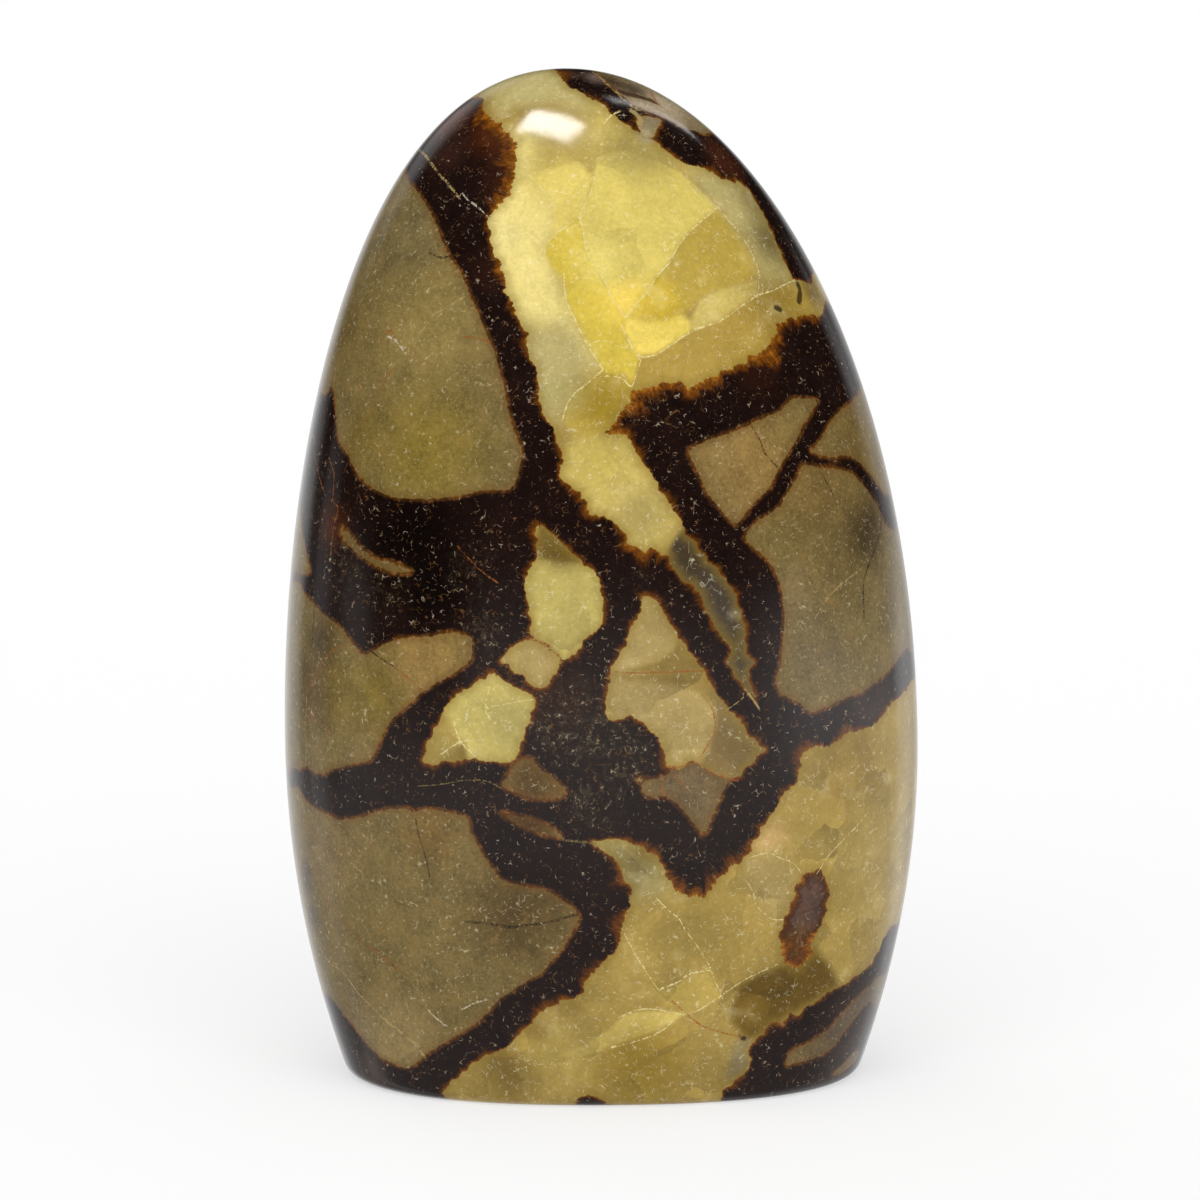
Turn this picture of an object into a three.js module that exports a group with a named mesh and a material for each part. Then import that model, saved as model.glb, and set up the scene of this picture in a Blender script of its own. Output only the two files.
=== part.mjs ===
// A septarian nodule, cut flat below and polished all over into a free-standing egg shape.
// It is one solid stone. Units are millimetres, +Z is up, the broad front faces -Y,
// and the origin is the middle of the outline on the surface that the flat base rests on.

import * as THREE from "three";
import { mergeVertices } from "three/addons/utils/BufferGeometryUtils.js";

// Driving dimensions
const HEIGHT = 120;
const WIDTH = 75.4; // across the widest level, left to right
const DEPTH = 52; // across the widest level, front to back
const WIDEST_Z = 40; // height of that level
const BASE_WIDTH = 61.2; // of the sawn base, its rounded edge left out
const BASE_DEPTH = 42;
const BASE_EDGE_RADIUS = 1.4;
const CROWN_POWER = 2.1; // 2 makes the upper half an ellipse in outline; more makes its shoulders fuller
const SECTION_POWER = 2.3; // 2 makes the level sections ellipses; more squares them a little
const CROWN_LEAN = 4.3; // how far the top stands to the left of the base's middle
const BACK_LEAN = 2.5; // how far the top stands behind the base's middle

// Mesh density
const SEGMENTS = 88; // around
const CROWN_RINGS = 26;
const FLANK_RINGS = 10;
const EDGE_RINGS = 4;

/** Half an extent of the level section at height z, given that extent at the widest level and at the base. */
function halfExtent(z, widest, base) {
  if (z >= WIDEST_Z) {
    const rise = Math.min((z - WIDEST_Z) / (HEIGHT - WIDEST_Z), 1);
    return (widest / 2) * (1 - rise ** 2) ** (1 / CROWN_POWER);
  }
  const drop = (WIDEST_Z - z) / WIDEST_Z;
  return widest / 2 - ((widest - base) / 2) * drop ** 2;
}

/** How far the sides draw in at height z where the base's edge is rounded off. */
function edgeInset(z) {
  const below = Math.max(BASE_EDGE_RADIUS - z, 0);
  return BASE_EDGE_RADIUS - Math.sqrt(BASE_EDGE_RADIUS ** 2 - below ** 2);
}

/** The level section at height z, as a ring of points. */
function section(z) {
  const share = z / HEIGHT;
  const centreX = -CROWN_LEAN * share ** 3;
  const centreY = BACK_LEAN * share ** 3;
  const halfWidth = halfExtent(z, WIDTH, BASE_WIDTH) - edgeInset(z);
  const halfDepth = halfExtent(z, DEPTH, BASE_DEPTH) - edgeInset(z);
  const power = 2 + (SECTION_POWER - 2) * (1 - share ** 4); // the crown rounds off to an ellipse
  const ring = [];
  for (let i = 0; i < SEGMENTS; i += 1) {
    const turn = (2 * Math.PI * i) / SEGMENTS;
    const c = Math.cos(turn);
    const s = Math.sin(turn);
    ring.push(
      new THREE.Vector3(
        centreX + halfWidth * Math.sign(c) * Math.abs(c) ** (2 / power),
        centreY + halfDepth * Math.sign(s) * Math.abs(s) ** (2 / power),
        z,
      ),
    );
  }
  return ring;
}

/** Heights of the rings from the base up: closer together round the base's edge and over the crown. */
function ringHeights() {
  const heights = [];
  for (let i = 0; i < EDGE_RINGS; i += 1) {
    heights.push(BASE_EDGE_RADIUS * (1 - Math.cos((Math.PI / 2) * (i / EDGE_RINGS))));
  }
  for (let i = 0; i < FLANK_RINGS; i += 1) {
    heights.push(BASE_EDGE_RADIUS + (WIDEST_Z - BASE_EDGE_RADIUS) * (i / FLANK_RINGS));
  }
  for (let i = 0; i < CROWN_RINGS; i += 1) {
    heights.push(WIDEST_Z + (HEIGHT - WIDEST_Z) * Math.sin((Math.PI / 2) * (i / CROWN_RINGS)));
  }
  return heights;
}

/** The closed stone: rings joined by quads, a fan over the top, and the flat base. */
function noduleGeometry() {
  const rings = ringHeights().map(section);
  const top = new THREE.Vector3(-CROWN_LEAN, BACK_LEAN, HEIGHT);
  const corners = [];
  const triangle = (a, b, c) => corners.push(a, b, c);

  for (let level = 0; level + 1 < rings.length; level += 1) {
    for (let i = 0; i < SEGMENTS; i += 1) {
      const next = (i + 1) % SEGMENTS;
      const [low, high] = [rings[level], rings[level + 1]];
      triangle(low[i], low[next], high[next]);
      triangle(low[i], high[next], high[i]);
    }
  }
  const last = rings[rings.length - 1];
  last.forEach((point, i) => triangle(point, last[(i + 1) % SEGMENTS], top));

  const rim = rings[0];
  const outline = rim.map((point) => new THREE.Vector2(point.x, point.y));
  THREE.ShapeUtils.triangulateShape(outline, []).forEach(([a, b, c]) => triangle(rim[a], rim[c], rim[b]));

  const geometry = new THREE.BufferGeometry().setFromPoints(corners);
  geometry.computeBoundingBox();
  const middle = geometry.boundingBox.getCenter(new THREE.Vector3());
  geometry.translate(-middle.x, -middle.y, 0);
  return mergeVertices(geometry);
}

const polishedStone = new THREE.MeshStandardMaterial({
  color: new THREE.Color(0.36, 0.31, 0.16),
  roughness: 0.15,
  metalness: 0,
});

const geometry = noduleGeometry();
geometry.computeVertexNormals();
const nodule = new THREE.Mesh(geometry, polishedStone);
nodule.name = "nodule";

const stone = new THREE.Group();
stone.add(nodule);

export default stone;
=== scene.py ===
"""A septarian nodule, sawn flat below and polished all over, standing on a plain pale floor.

The stone is one closed skin with the same shape as its CAD solid. Its pattern is a set of closed
outlines drawn on that skin: cells of grey-olive mudstone and of yellow calcite. Whatever lies in
no cell is the dark brown seam between them. Each point of the skin stores how far it is from the
nearest outlines, and the material turns those distances into edges, fringes and seams.
Lengths are millimetres until the mesh is made.
"""

import math

import bmesh
import bpy
import numpy as np
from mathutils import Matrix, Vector
from mathutils.kdtree import KDTree


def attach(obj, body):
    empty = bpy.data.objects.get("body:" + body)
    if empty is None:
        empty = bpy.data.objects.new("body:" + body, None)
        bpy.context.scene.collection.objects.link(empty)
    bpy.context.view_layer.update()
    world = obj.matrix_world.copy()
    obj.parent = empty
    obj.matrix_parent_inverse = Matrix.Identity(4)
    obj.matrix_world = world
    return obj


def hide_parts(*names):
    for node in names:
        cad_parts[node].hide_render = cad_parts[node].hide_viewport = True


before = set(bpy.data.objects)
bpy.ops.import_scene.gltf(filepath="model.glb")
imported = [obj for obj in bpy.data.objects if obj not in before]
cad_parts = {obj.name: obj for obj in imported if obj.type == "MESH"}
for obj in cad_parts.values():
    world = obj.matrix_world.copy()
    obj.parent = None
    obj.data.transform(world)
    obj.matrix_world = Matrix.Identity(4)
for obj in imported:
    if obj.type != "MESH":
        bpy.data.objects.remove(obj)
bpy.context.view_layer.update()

MM = 0.001

# The stone's shape, as in the CAD solid
HEIGHT = 120.0
WIDTH = 75.4
DEPTH = 52.0
WIDEST_Z = 40.0
BASE_WIDTH = 61.2
BASE_DEPTH = 42.0
BASE_EDGE_RADIUS = 1.4
CROWN_POWER = 2.1
SECTION_POWER = 2.3
CROWN_LEAN = 4.3
BACK_LEAN = 2.5
JUST_BELOW = 0.999999  # of the height, where the crown still has a width

# The camera: it looks a little down on the broad front from slightly left of it
CAMERA_DISTANCE = 900.0
CAMERA_ELEVATION = math.radians(9.69)
CAMERA_AZIMUTH = math.radians(-1.47)
AIM = np.array([-0.16, 0.0, 56.9])
VIEW_WIDTH = 142.7  # what the frame spans at the aim
FRAME_PIXELS = 1200.0

# Mesh density
RING_STEP = 0.66
FRONT_COLUMNS = 180
BACK_COLUMNS = 120
BASE_RINGS = 22
FINE_BAND = 0.75  # faces nearer than this to a hairline or a crystal's edge are cut in four
BASE_BAND = 0.001  # points lower than this belong to the flat base

# Levels at which the shape is sampled: for its middle, and along its edge, flanks and crown
OUTLINE_LEVELS = 4001
EDGE_LEVELS = 60
FLANK_LEVELS = 400
CROWN_LEVELS = 2000

INNER = np.array([0.0, 0.0, 50.0])  # a point inside, from which the skin is seen as a chart
HALVINGS = 40  # of a distance, to find the skin along a line
# Where along the camera's rays the stone is looked for
RAY_START = CAMERA_DISTANCE - 120
RAY_STEPS = np.linspace(CAMERA_DISTANCE - 90, CAMERA_DISTANCE + 90, 241)

# How outlines bow and waver where their points are far apart
WAVER_STEP = 1.9
WAVER = 0.32
BOW = 0.07
SEED = 5
CURVE_STEP = 0.3  # between the points set along a curve

FADE = 1.5  # how many times its reach a wash or a wide fringe takes to fade out
CRACKLE_FADE = 1.4  # the same for a crackled patch
OUTLINE_RANGE = 9.0  # distances from an outline are stored up to this
THREAD_RANGE = 2.0  # and distances from a hairline up to this

LIGHT_LEVEL = 1.12  # how bright a pigment of 1 looks on the front of the stone
GLOSS_VEIL = 0.012  # what the polish adds to every colour


# ---------------------------------------------------------------- outlines
# All points were read one by one. A point is a pixel (x, y) of the 1200 x 1200 front view or, where the
# photo doesn't reach, one of these: ("round", angle, height) is on the sides, its angle in degrees
# round the upright axis, 0 in front, 90 at the viewer's right and 180 behind; ("back", x, height) is
# on the back; ("base", x, y) is on the flat base. at, behind and under write runs of such points.


def at(*places):
    return [("round", *place) for place in places]


def behind(*places):
    return [("back", *place) for place in places]


def under(*places):
    return [("base", *place) for place in places]


# Calcite cells
TOP_CALCITE = [
    (482, 97), (486, 110), (493, 118), (501, 124), (506, 131), (512, 137), (517, 144), (518, 156),
    (517, 171), (514, 181), (511, 191), (505, 201), (498, 210), (492, 215), (487, 216), (489, 224),
    (491, 235), (491, 245), (496, 255), (501, 267), (504, 277), (507, 286), (504, 291), (511, 298),
    (516, 306), (517, 318), (523, 326), (529, 335), (530, 355), (535, 366), (538, 380), (540, 392),
    (542, 404), (545, 416), (554, 429), (556, 439), (561, 448), (564, 460), (561, 477), (574, 486),
    (579, 495), (588, 502), (591, 512), (603, 517), (618, 524), (628, 539), (640, 550), (654, 550),
    (667, 557), (677, 571), (682, 579), (695, 587), (702, 594), (708, 611), (717, 625), (721, 634),
    (733, 651), (727, 662), (737, 677), (747, 692), (757, 704), (749, 688), (748, 671), (754, 663),
    (747, 655), (743, 631), (740, 609), (730, 588), (709, 562), (693, 542), (686, 532), (680, 520),
    (669, 507), (659, 490), (655, 477), (641, 463), (634, 453), (626, 437), (605, 435), (613, 423),
    (620, 413), (627, 405), (630, 396), (636, 390), (655, 385), (676, 381), (690, 388), (699, 382),
    (721, 373), (746, 361), (764, 346), (773, 337), (778, 327), (785, 321), (795, 316), (807, 314),
    (820, 314), *at((97, 90.5), (107, 88.5), (117, 89), (124, 92), (114, 93), (107, 95.5), (98, 95)),
    (812, 286), (800, 281), (793, 281), (789, 272), (779, 250), (771, 231), (763, 214), (757, 205),
    (748, 189), (742, 184), (728, 181), (712, 174), (704, 169), (684, 164), (673, 158), (667, 153),
    (659, 146), (647, 138), (630, 128), (614, 115), (600, 104), (589, 99), (580, 92), (568, 85),
    (558, 78), (554, 72), *at((184, 116.5)), *behind((-6, 112), (-6.5, 106), (-4, 99), (0, 93),
    (-1.5, 86), (1.5, 79), (4.5, 73.5), (10, 70), (17, 66), (24, 60.5), (25.5, 56.5), (19, 57),
    (12, 60.5), (6, 62.5), (0.5, 61), (-3, 56), (-8, 50.5), (-14, 46.5), (-21, 45), (-22.5, 47.5),
    (-16.5, 51), (-11.5, 56), (-7.5, 62), (-5.5, 69), (-8.5, 76), (-7.5, 84), (-10, 91), (-9.5, 98),
    (-14.5, 104)), *at((243, 108), (256, 112), (263, 115.5)),
]
BAND_CHIP = [
    (637, 118), (641, 116), (646, 116), (652, 118), (660, 120), (659, 123), (656, 129), (653, 134),
    (650, 138), (646, 138), (641, 137), (640, 131), (638, 124),
]
MIDDLE_CALCITE = [
    (541, 526), (548, 530), (554, 537), (567, 550), (582, 563), (597, 575), (599, 583), (601, 598),
    (601, 619), (598, 629), (588, 636), (579, 648), (568, 656), (561, 660), (557, 653), (545, 643),
    (533, 638), (531, 625), (528, 604), (526, 592), (525, 583), (530, 572), (537, 555), (538, 545),
    (538, 534),
]
PALE_CALCITE = [
    (501, 661), (506, 653), (514, 647), (529, 641), (541, 645), (549, 649), (555, 654), (559, 661),
    (558, 668), (552, 677), (541, 687), (530, 682), (524, 675), (514, 672), (508, 665),
]
LEFT_CALCITE = [
    (497, 676), (506, 682), (514, 688), (524, 693), (534, 699), (530, 717), (526, 728), (522, 740),
    (515, 755), (512, 760), (489, 761), (465, 758), (454, 760), (432, 764), (425, 764), (424, 756),
    (431, 736), (441, 718), (445, 708), (453, 700), (470, 687), (481, 681), (488, 678),
]
CENTRE_CALCITE = [
    (643, 598), (649, 596), (655, 601), (667, 621), (682, 642), (698, 664), (712, 689), (729, 709),
    (745, 730), (759, 745), (765, 749), (757, 757), (749, 765), (741, 774), (733, 779), (721, 776),
    (712, 772), (702, 765), (692, 761), (682, 767), (671, 767), (667, 755), (658, 738), (652, 733),
    (646, 725), (639, 718), (632, 714), (618, 719), (607, 718), (607, 700), (612, 676), (612, 668),
    (621, 655), (630, 632), (637, 621), (641, 608),
]
LOWER_CALCITE = [
    (592, 842), (612, 840), (624, 842), (632, 845), (647, 851), (659, 860), (663, 868), (667, 879),
    (675, 892), (692, 899), (696, 893), (700, 898), (712, 891), (719, 881), (725, 872), (741, 862),
    (749, 853), (757, 837), (762, 828), (768, 819), (777, 808), (782, 797), (787, 793), (795, 784),
    (800, 774), (802, 764), (809, 751), (820, 747), (831, 745), (849, 735), (862, 731), (872, 726),
    (882, 718), (890, 706), (900, 698), (908, 687), *at((100, 48), (112, 49.5), (128, 46), (139, 38),
    (138, 28), (126, 20.5), (110, 17.5), (98, 18)), (894, 922), (887, 932), (879, 950), (868, 966),
    (855, 976), (843, 984), (827, 992), (816, 1002), (803, 1008), (799, 1014), (791, 1013), (783, 1020),
    (776, 1019), (768, 1024), (763, 1033), (752, 1042), (748, 1050), (751, 1064), (738, 1077),
    (729, 1085), (722, 1092), *under((12, -17), (4, -9), (-9, -7), (-16, -14)), (444, 1094),
    (450, 1085), (454, 1079), (463, 1074), (471, 1065), (481, 1059), (504, 1049), (516, 1040),
    (529, 1027), (545, 1012), (567, 1000), (579, 996), (588, 982), (601, 966), (612, 952), (620, 944),
    (624, 932), (628, 915), (629, 906), (628, 901), (632, 893), (627, 879), (622, 866), (614, 857),
    (601, 848),
]
LOST_SHARD = [
    (500, 813), (518, 816), (538, 821), (550, 827), (561, 837), (547, 835), (532, 831), (515, 823),
]

# Mudstone cells
CROWN_MUDSTONE = [
    (596, 73), (602, 78), (608, 84), (617, 92), (628, 100), (640, 108), (652, 113), (667, 119),
    (682, 127), (697, 132), (707, 134), (714, 133), *at((104, 107), (116, 103), (138, 101),
    (160, 104.5), (172, 110), (174, 115)),
]
UPPER_LEFT_MUDSTONE = [
    (405, 172), (409, 182), (415, 188), (421, 197), (428, 208), (434, 220), (439, 232), (444, 246),
    (451, 259), (460, 272), (466, 285), (471, 298), (477, 310), (487, 335), (496, 357), (500, 372),
    (504, 387), (509, 413), (513, 428), (519, 442), (522, 456), (519, 469), (516, 481), (510, 489),
    (499, 490), (485, 490), (471, 493), (458, 496), (432, 499), (401, 498), (391, 496), (378, 491),
    (359, 476), (347, 453), (340, 444), (337, 430), (335, 401), (331, 386), (326, 394), (321, 391),
    *at((-94, 83), (-104, 80), (-114, 84), (-119, 92), (-112, 99), (-100, 105), (-94, 108)),
]
RIM_LENS = [
    (300, 513), (302, 530), (305, 545), (308, 560), (311, 572), (304, 574), *at((-92, 60.5), (-103, 61),
    (-110, 65), (-101, 69)),
]
LEFT_MUDSTONE = [
    (299, 582), (304, 594), (311, 601), (319, 610), (328, 618), (340, 627), (348, 637), (354, 645),
    (360, 652), (367, 655), (374, 650), (383, 645), (403, 638), (428, 637), (440, 634), (455, 632),
    (464, 635), (471, 638), (472, 646), (471, 659), (465, 665), (450, 676), (428, 688), (411, 702),
    (401, 711), (391, 721), (385, 731), (379, 743), (375, 753), (370, 760), (352, 764), (327, 772),
    (316, 774), (306, 766), *at((-90, 37.5), (-103, 37), (-116, 40), (-124, 47), (-118, 54), (-106, 58),
    (-95, 59)),
]
LOW_MUDSTONE = [
    (298, 787), (304, 798), (311, 805), (329, 815), (341, 820), (362, 817), (380, 811), (405, 808),
    (415, 813), (424, 809), (444, 812), (466, 817), (470, 828), (473, 836), (485, 858), (493, 869),
    (503, 880), (522, 886), (545, 890), (565, 902), (577, 913), (578, 921), (573, 930), (562, 949),
    (547, 966), (541, 974), (530, 979), (510, 993), (501, 998), (485, 1015), (477, 1023), (467, 1029),
    (448, 1041), (430, 1052), (413, 1065), (406, 1068), (391, 1062), (381, 1058), (366, 1043),
    (352, 1024), (335, 1003), (326, 992), *at((-92, 10), (-104, 7), (-116, 6.5), (-122, 13), (-126, 21),
    (-122, 29), (-110, 33.5), (-97, 33.5)),
]
SUNK_SLIVER = [
    (341, 526), (350, 534), (358, 544), (367, 552), (377, 560), (390, 562), (402, 566), (412, 572),
    (400, 573), (388, 571), (376, 566), (366, 559), (356, 553), (347, 543), (341, 534),
]
SMALL_TRIANGLE = [
    (526, 758), (533, 760), (538, 767), (547, 774), (557, 781), (562, 787), (564, 796), (543, 799),
    (530, 798), (508, 789), (501, 786), (506, 778), (511, 770), (517, 762),
]
CENTRE_WEDGE = [
    (637, 777), (650, 779), (667, 775), (672, 768), (682, 768), (692, 762), (702, 766), (712, 773),
    (721, 777), (729, 780), (724, 789), (720, 799), (711, 820), (704, 835), (693, 822), (679, 806),
    (667, 797), (647, 796), (641, 785),
]
RIGHT_TRIANGLE = [
    (688, 451), (698, 445), (735, 431), (756, 421), (779, 411), (792, 399), (807, 399), (818, 400),
    (812, 411), (802, 428), (797, 439), (785, 458), (774, 478), (768, 490), (746, 513), (735, 524),
    (717, 505), (708, 494), (701, 479), (692, 460),
]
RIM_MUDSTONE = [
    (857, 396), (851, 403), (834, 417), (827, 428), (817, 445), (811, 452), (832, 457), (843, 455),
    (853, 458), (862, 465), (869, 473), (877, 483), (884, 493), *at((94, 69), (104, 70), (110, 75),
    (105, 80.5), (96, 82)),
]
RIGHT_MUDSTONE = [
    (802, 465), (822, 468), (842, 470), (853, 474), (861, 483), (869, 493), (876, 503), (881, 514),
    (885, 524), (892, 530), *at((94, 65), (106, 66), (115, 61), (112, 54), (99, 51.5)), (905, 648),
    (896, 662), (889, 670), (882, 677), (872, 685), (849, 696), (825, 708), (812, 712), (804, 708),
    (800, 703), (784, 696), (777, 688), (776, 680), (781, 660), (784, 632), (784, 610), (781, 588),
    (777, 577), (768, 560), (755, 549), (745, 537), (756, 523), (774, 511), (782, 504), (787, 494),
    (799, 474),
]
LOW_RIGHT_STRIP = [
    (787, 1056), (794, 1049), (808, 1043), (823, 1033), (837, 1020), (848, 1007), (863, 992),
    (877, 978), *at((96, 12), (106, 12.5), (110, 10.5), (98, 8.8)), (869, 1002), (855, 1018),
    (845, 1031), (835, 1045), (820, 1056), (797, 1063), (786, 1064),
]
FOOT_STRIP = [(832, 1075), (842, 1065), (855, 1051), (858, 1056), (846, 1069), (837, 1075)]

# Cells of the back and the base
BACK_RIGHT = behind(
    (1.5, 99), (6, 98), (11, 96), (15.5, 91.5), (19, 86), (24, 80.5), (28.5, 75), (29, 69),
    (24.5, 65.5), (17.5, 70), (10.5, 74), (5.5, 78), (2.8, 84), (3.8, 91),
)
BACK_LEFT = behind(
    (-13.5, 97.5), (-18, 99), (-21.5, 94.5), (-23.5, 87), (-27, 81), (-30.5, 74), (-30, 66),
    (-26, 60.5), (-23.5, 53), (-18, 55), (-14.5, 59.5), (-10.5, 65), (-9.5, 70), (-12.5, 76),
    (-11.5, 83), (-13.5, 90),
)
BACK_MIDDLE = behind(
    (4.5, 58.5), (10.5, 56.5), (17, 52.5), (20, 49), (17, 42), (16.5, 36), (13.5, 29.5), (7, 27.5),
    (0, 29), (-6, 27.5), (-10.5, 33), (-11, 39), (-9, 44.5), (-4, 49.5), (0, 55.5),
)
BACK_LOW_LEFT = behind(
    (-15, 41), (-21, 40.5), (-25, 36), (-24.5, 29), (-22.5, 21), (-22, 13.5), (-16, 10.5),
    (-11.5, 14.5), (-9.5, 21), (-14, 28), (-15, 35),
)
BACK_POCKET = behind(
    (-5.5, 22.5), (-1.5, 25), (5, 23.5), (11, 25.5), (15, 22), (14, 15), (9.5, 9.5), (3, 8), (-3, 10),
    (-7, 14.5), (-5, 18),
)
BACK_CORNER = behind(
    (18.5, 22), (22.5, 17.5), (27.5, 14.5), (28, 7), (22, 4.5), (14.5, 5.5), (17.5, 12), (19, 17),
)
BACK_FOOT = behind((-18, 6.5), (-12, 7), (-6, 5.5), (-1, 4.5), (-5, 2.4), (-14, 2.4), (-20, 3.5))
BASE_LEFT = under((-24, -4), (-12, -1), (-9, 8), (-15, 15), (-24, 8))
BASE_RIGHT = under((7, 3), (20, -4), (25, 4), (18, 13), (8, 14))

CALCITE_CELLS = [
    TOP_CALCITE, BAND_CHIP, MIDDLE_CALCITE, PALE_CALCITE, LEFT_CALCITE, CENTRE_CALCITE, LOWER_CALCITE,
    BACK_POCKET, BASE_RIGHT,
]
MUDSTONE_CELLS = [
    CROWN_MUDSTONE, UPPER_LEFT_MUDSTONE, RIM_LENS, LEFT_MUDSTONE, LOW_MUDSTONE, SUNK_SLIVER,
    SMALL_TRIANGLE, CENTRE_WEDGE, RIGHT_TRIANGLE, RIM_MUDSTONE, RIGHT_MUDSTONE, LOW_RIGHT_STRIP,
    LOST_SHARD, FOOT_STRIP, BACK_RIGHT, BACK_LEFT, BACK_MIDDLE, BACK_LOW_LEFT, BACK_CORNER, BACK_FOOT,
    BASE_LEFT,
]
# Dark seam that shows inside a calcite cell
DARK_ISLANDS = [
    [
        (813, 871), (820, 869), (826, 877), (830, 886), (831, 895), (827, 905), (826, 915), (821, 925),
        (817, 934), (812, 942), (815, 950), (809, 961), (796, 968), (785, 962), (780, 954), (779, 942),
        (781, 929), (784, 919), (791, 905), (794, 893), (799, 882), (805, 874),
    ],
    [
        (574, 1103), (579, 1098), (588, 1094), (597, 1096), (605, 1100), (608, 1104), *under((1, -20.2),
        (-3, -20)),
    ],
]

# Joints that a hairline and the crystals beside it share
LEMON_LEFT = [
    (594, 179), (590, 194), (581, 212), (580, 217), (583, 232), (586, 249), (594, 265), (605, 282),
    (611, 298), (622, 313), (626, 318),
]
LEMON_RIGHT = [
    (626, 318), (635, 305), (647, 292), (659, 274), (670, 262), (679, 245), (693, 229), (710, 214),
    (718, 207),
]
SAGE_JOINT = [(718, 207), (728, 220), (743, 238), (757, 265), (759, 285), (757, 296)]
UMBER_JOINT = [(720, 321), (742, 306), (757, 296), (774, 290), (793, 281)]
NECK_JOINT = [(600, 372), (588, 383), (575, 393), (567, 405), (563, 417)]

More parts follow.
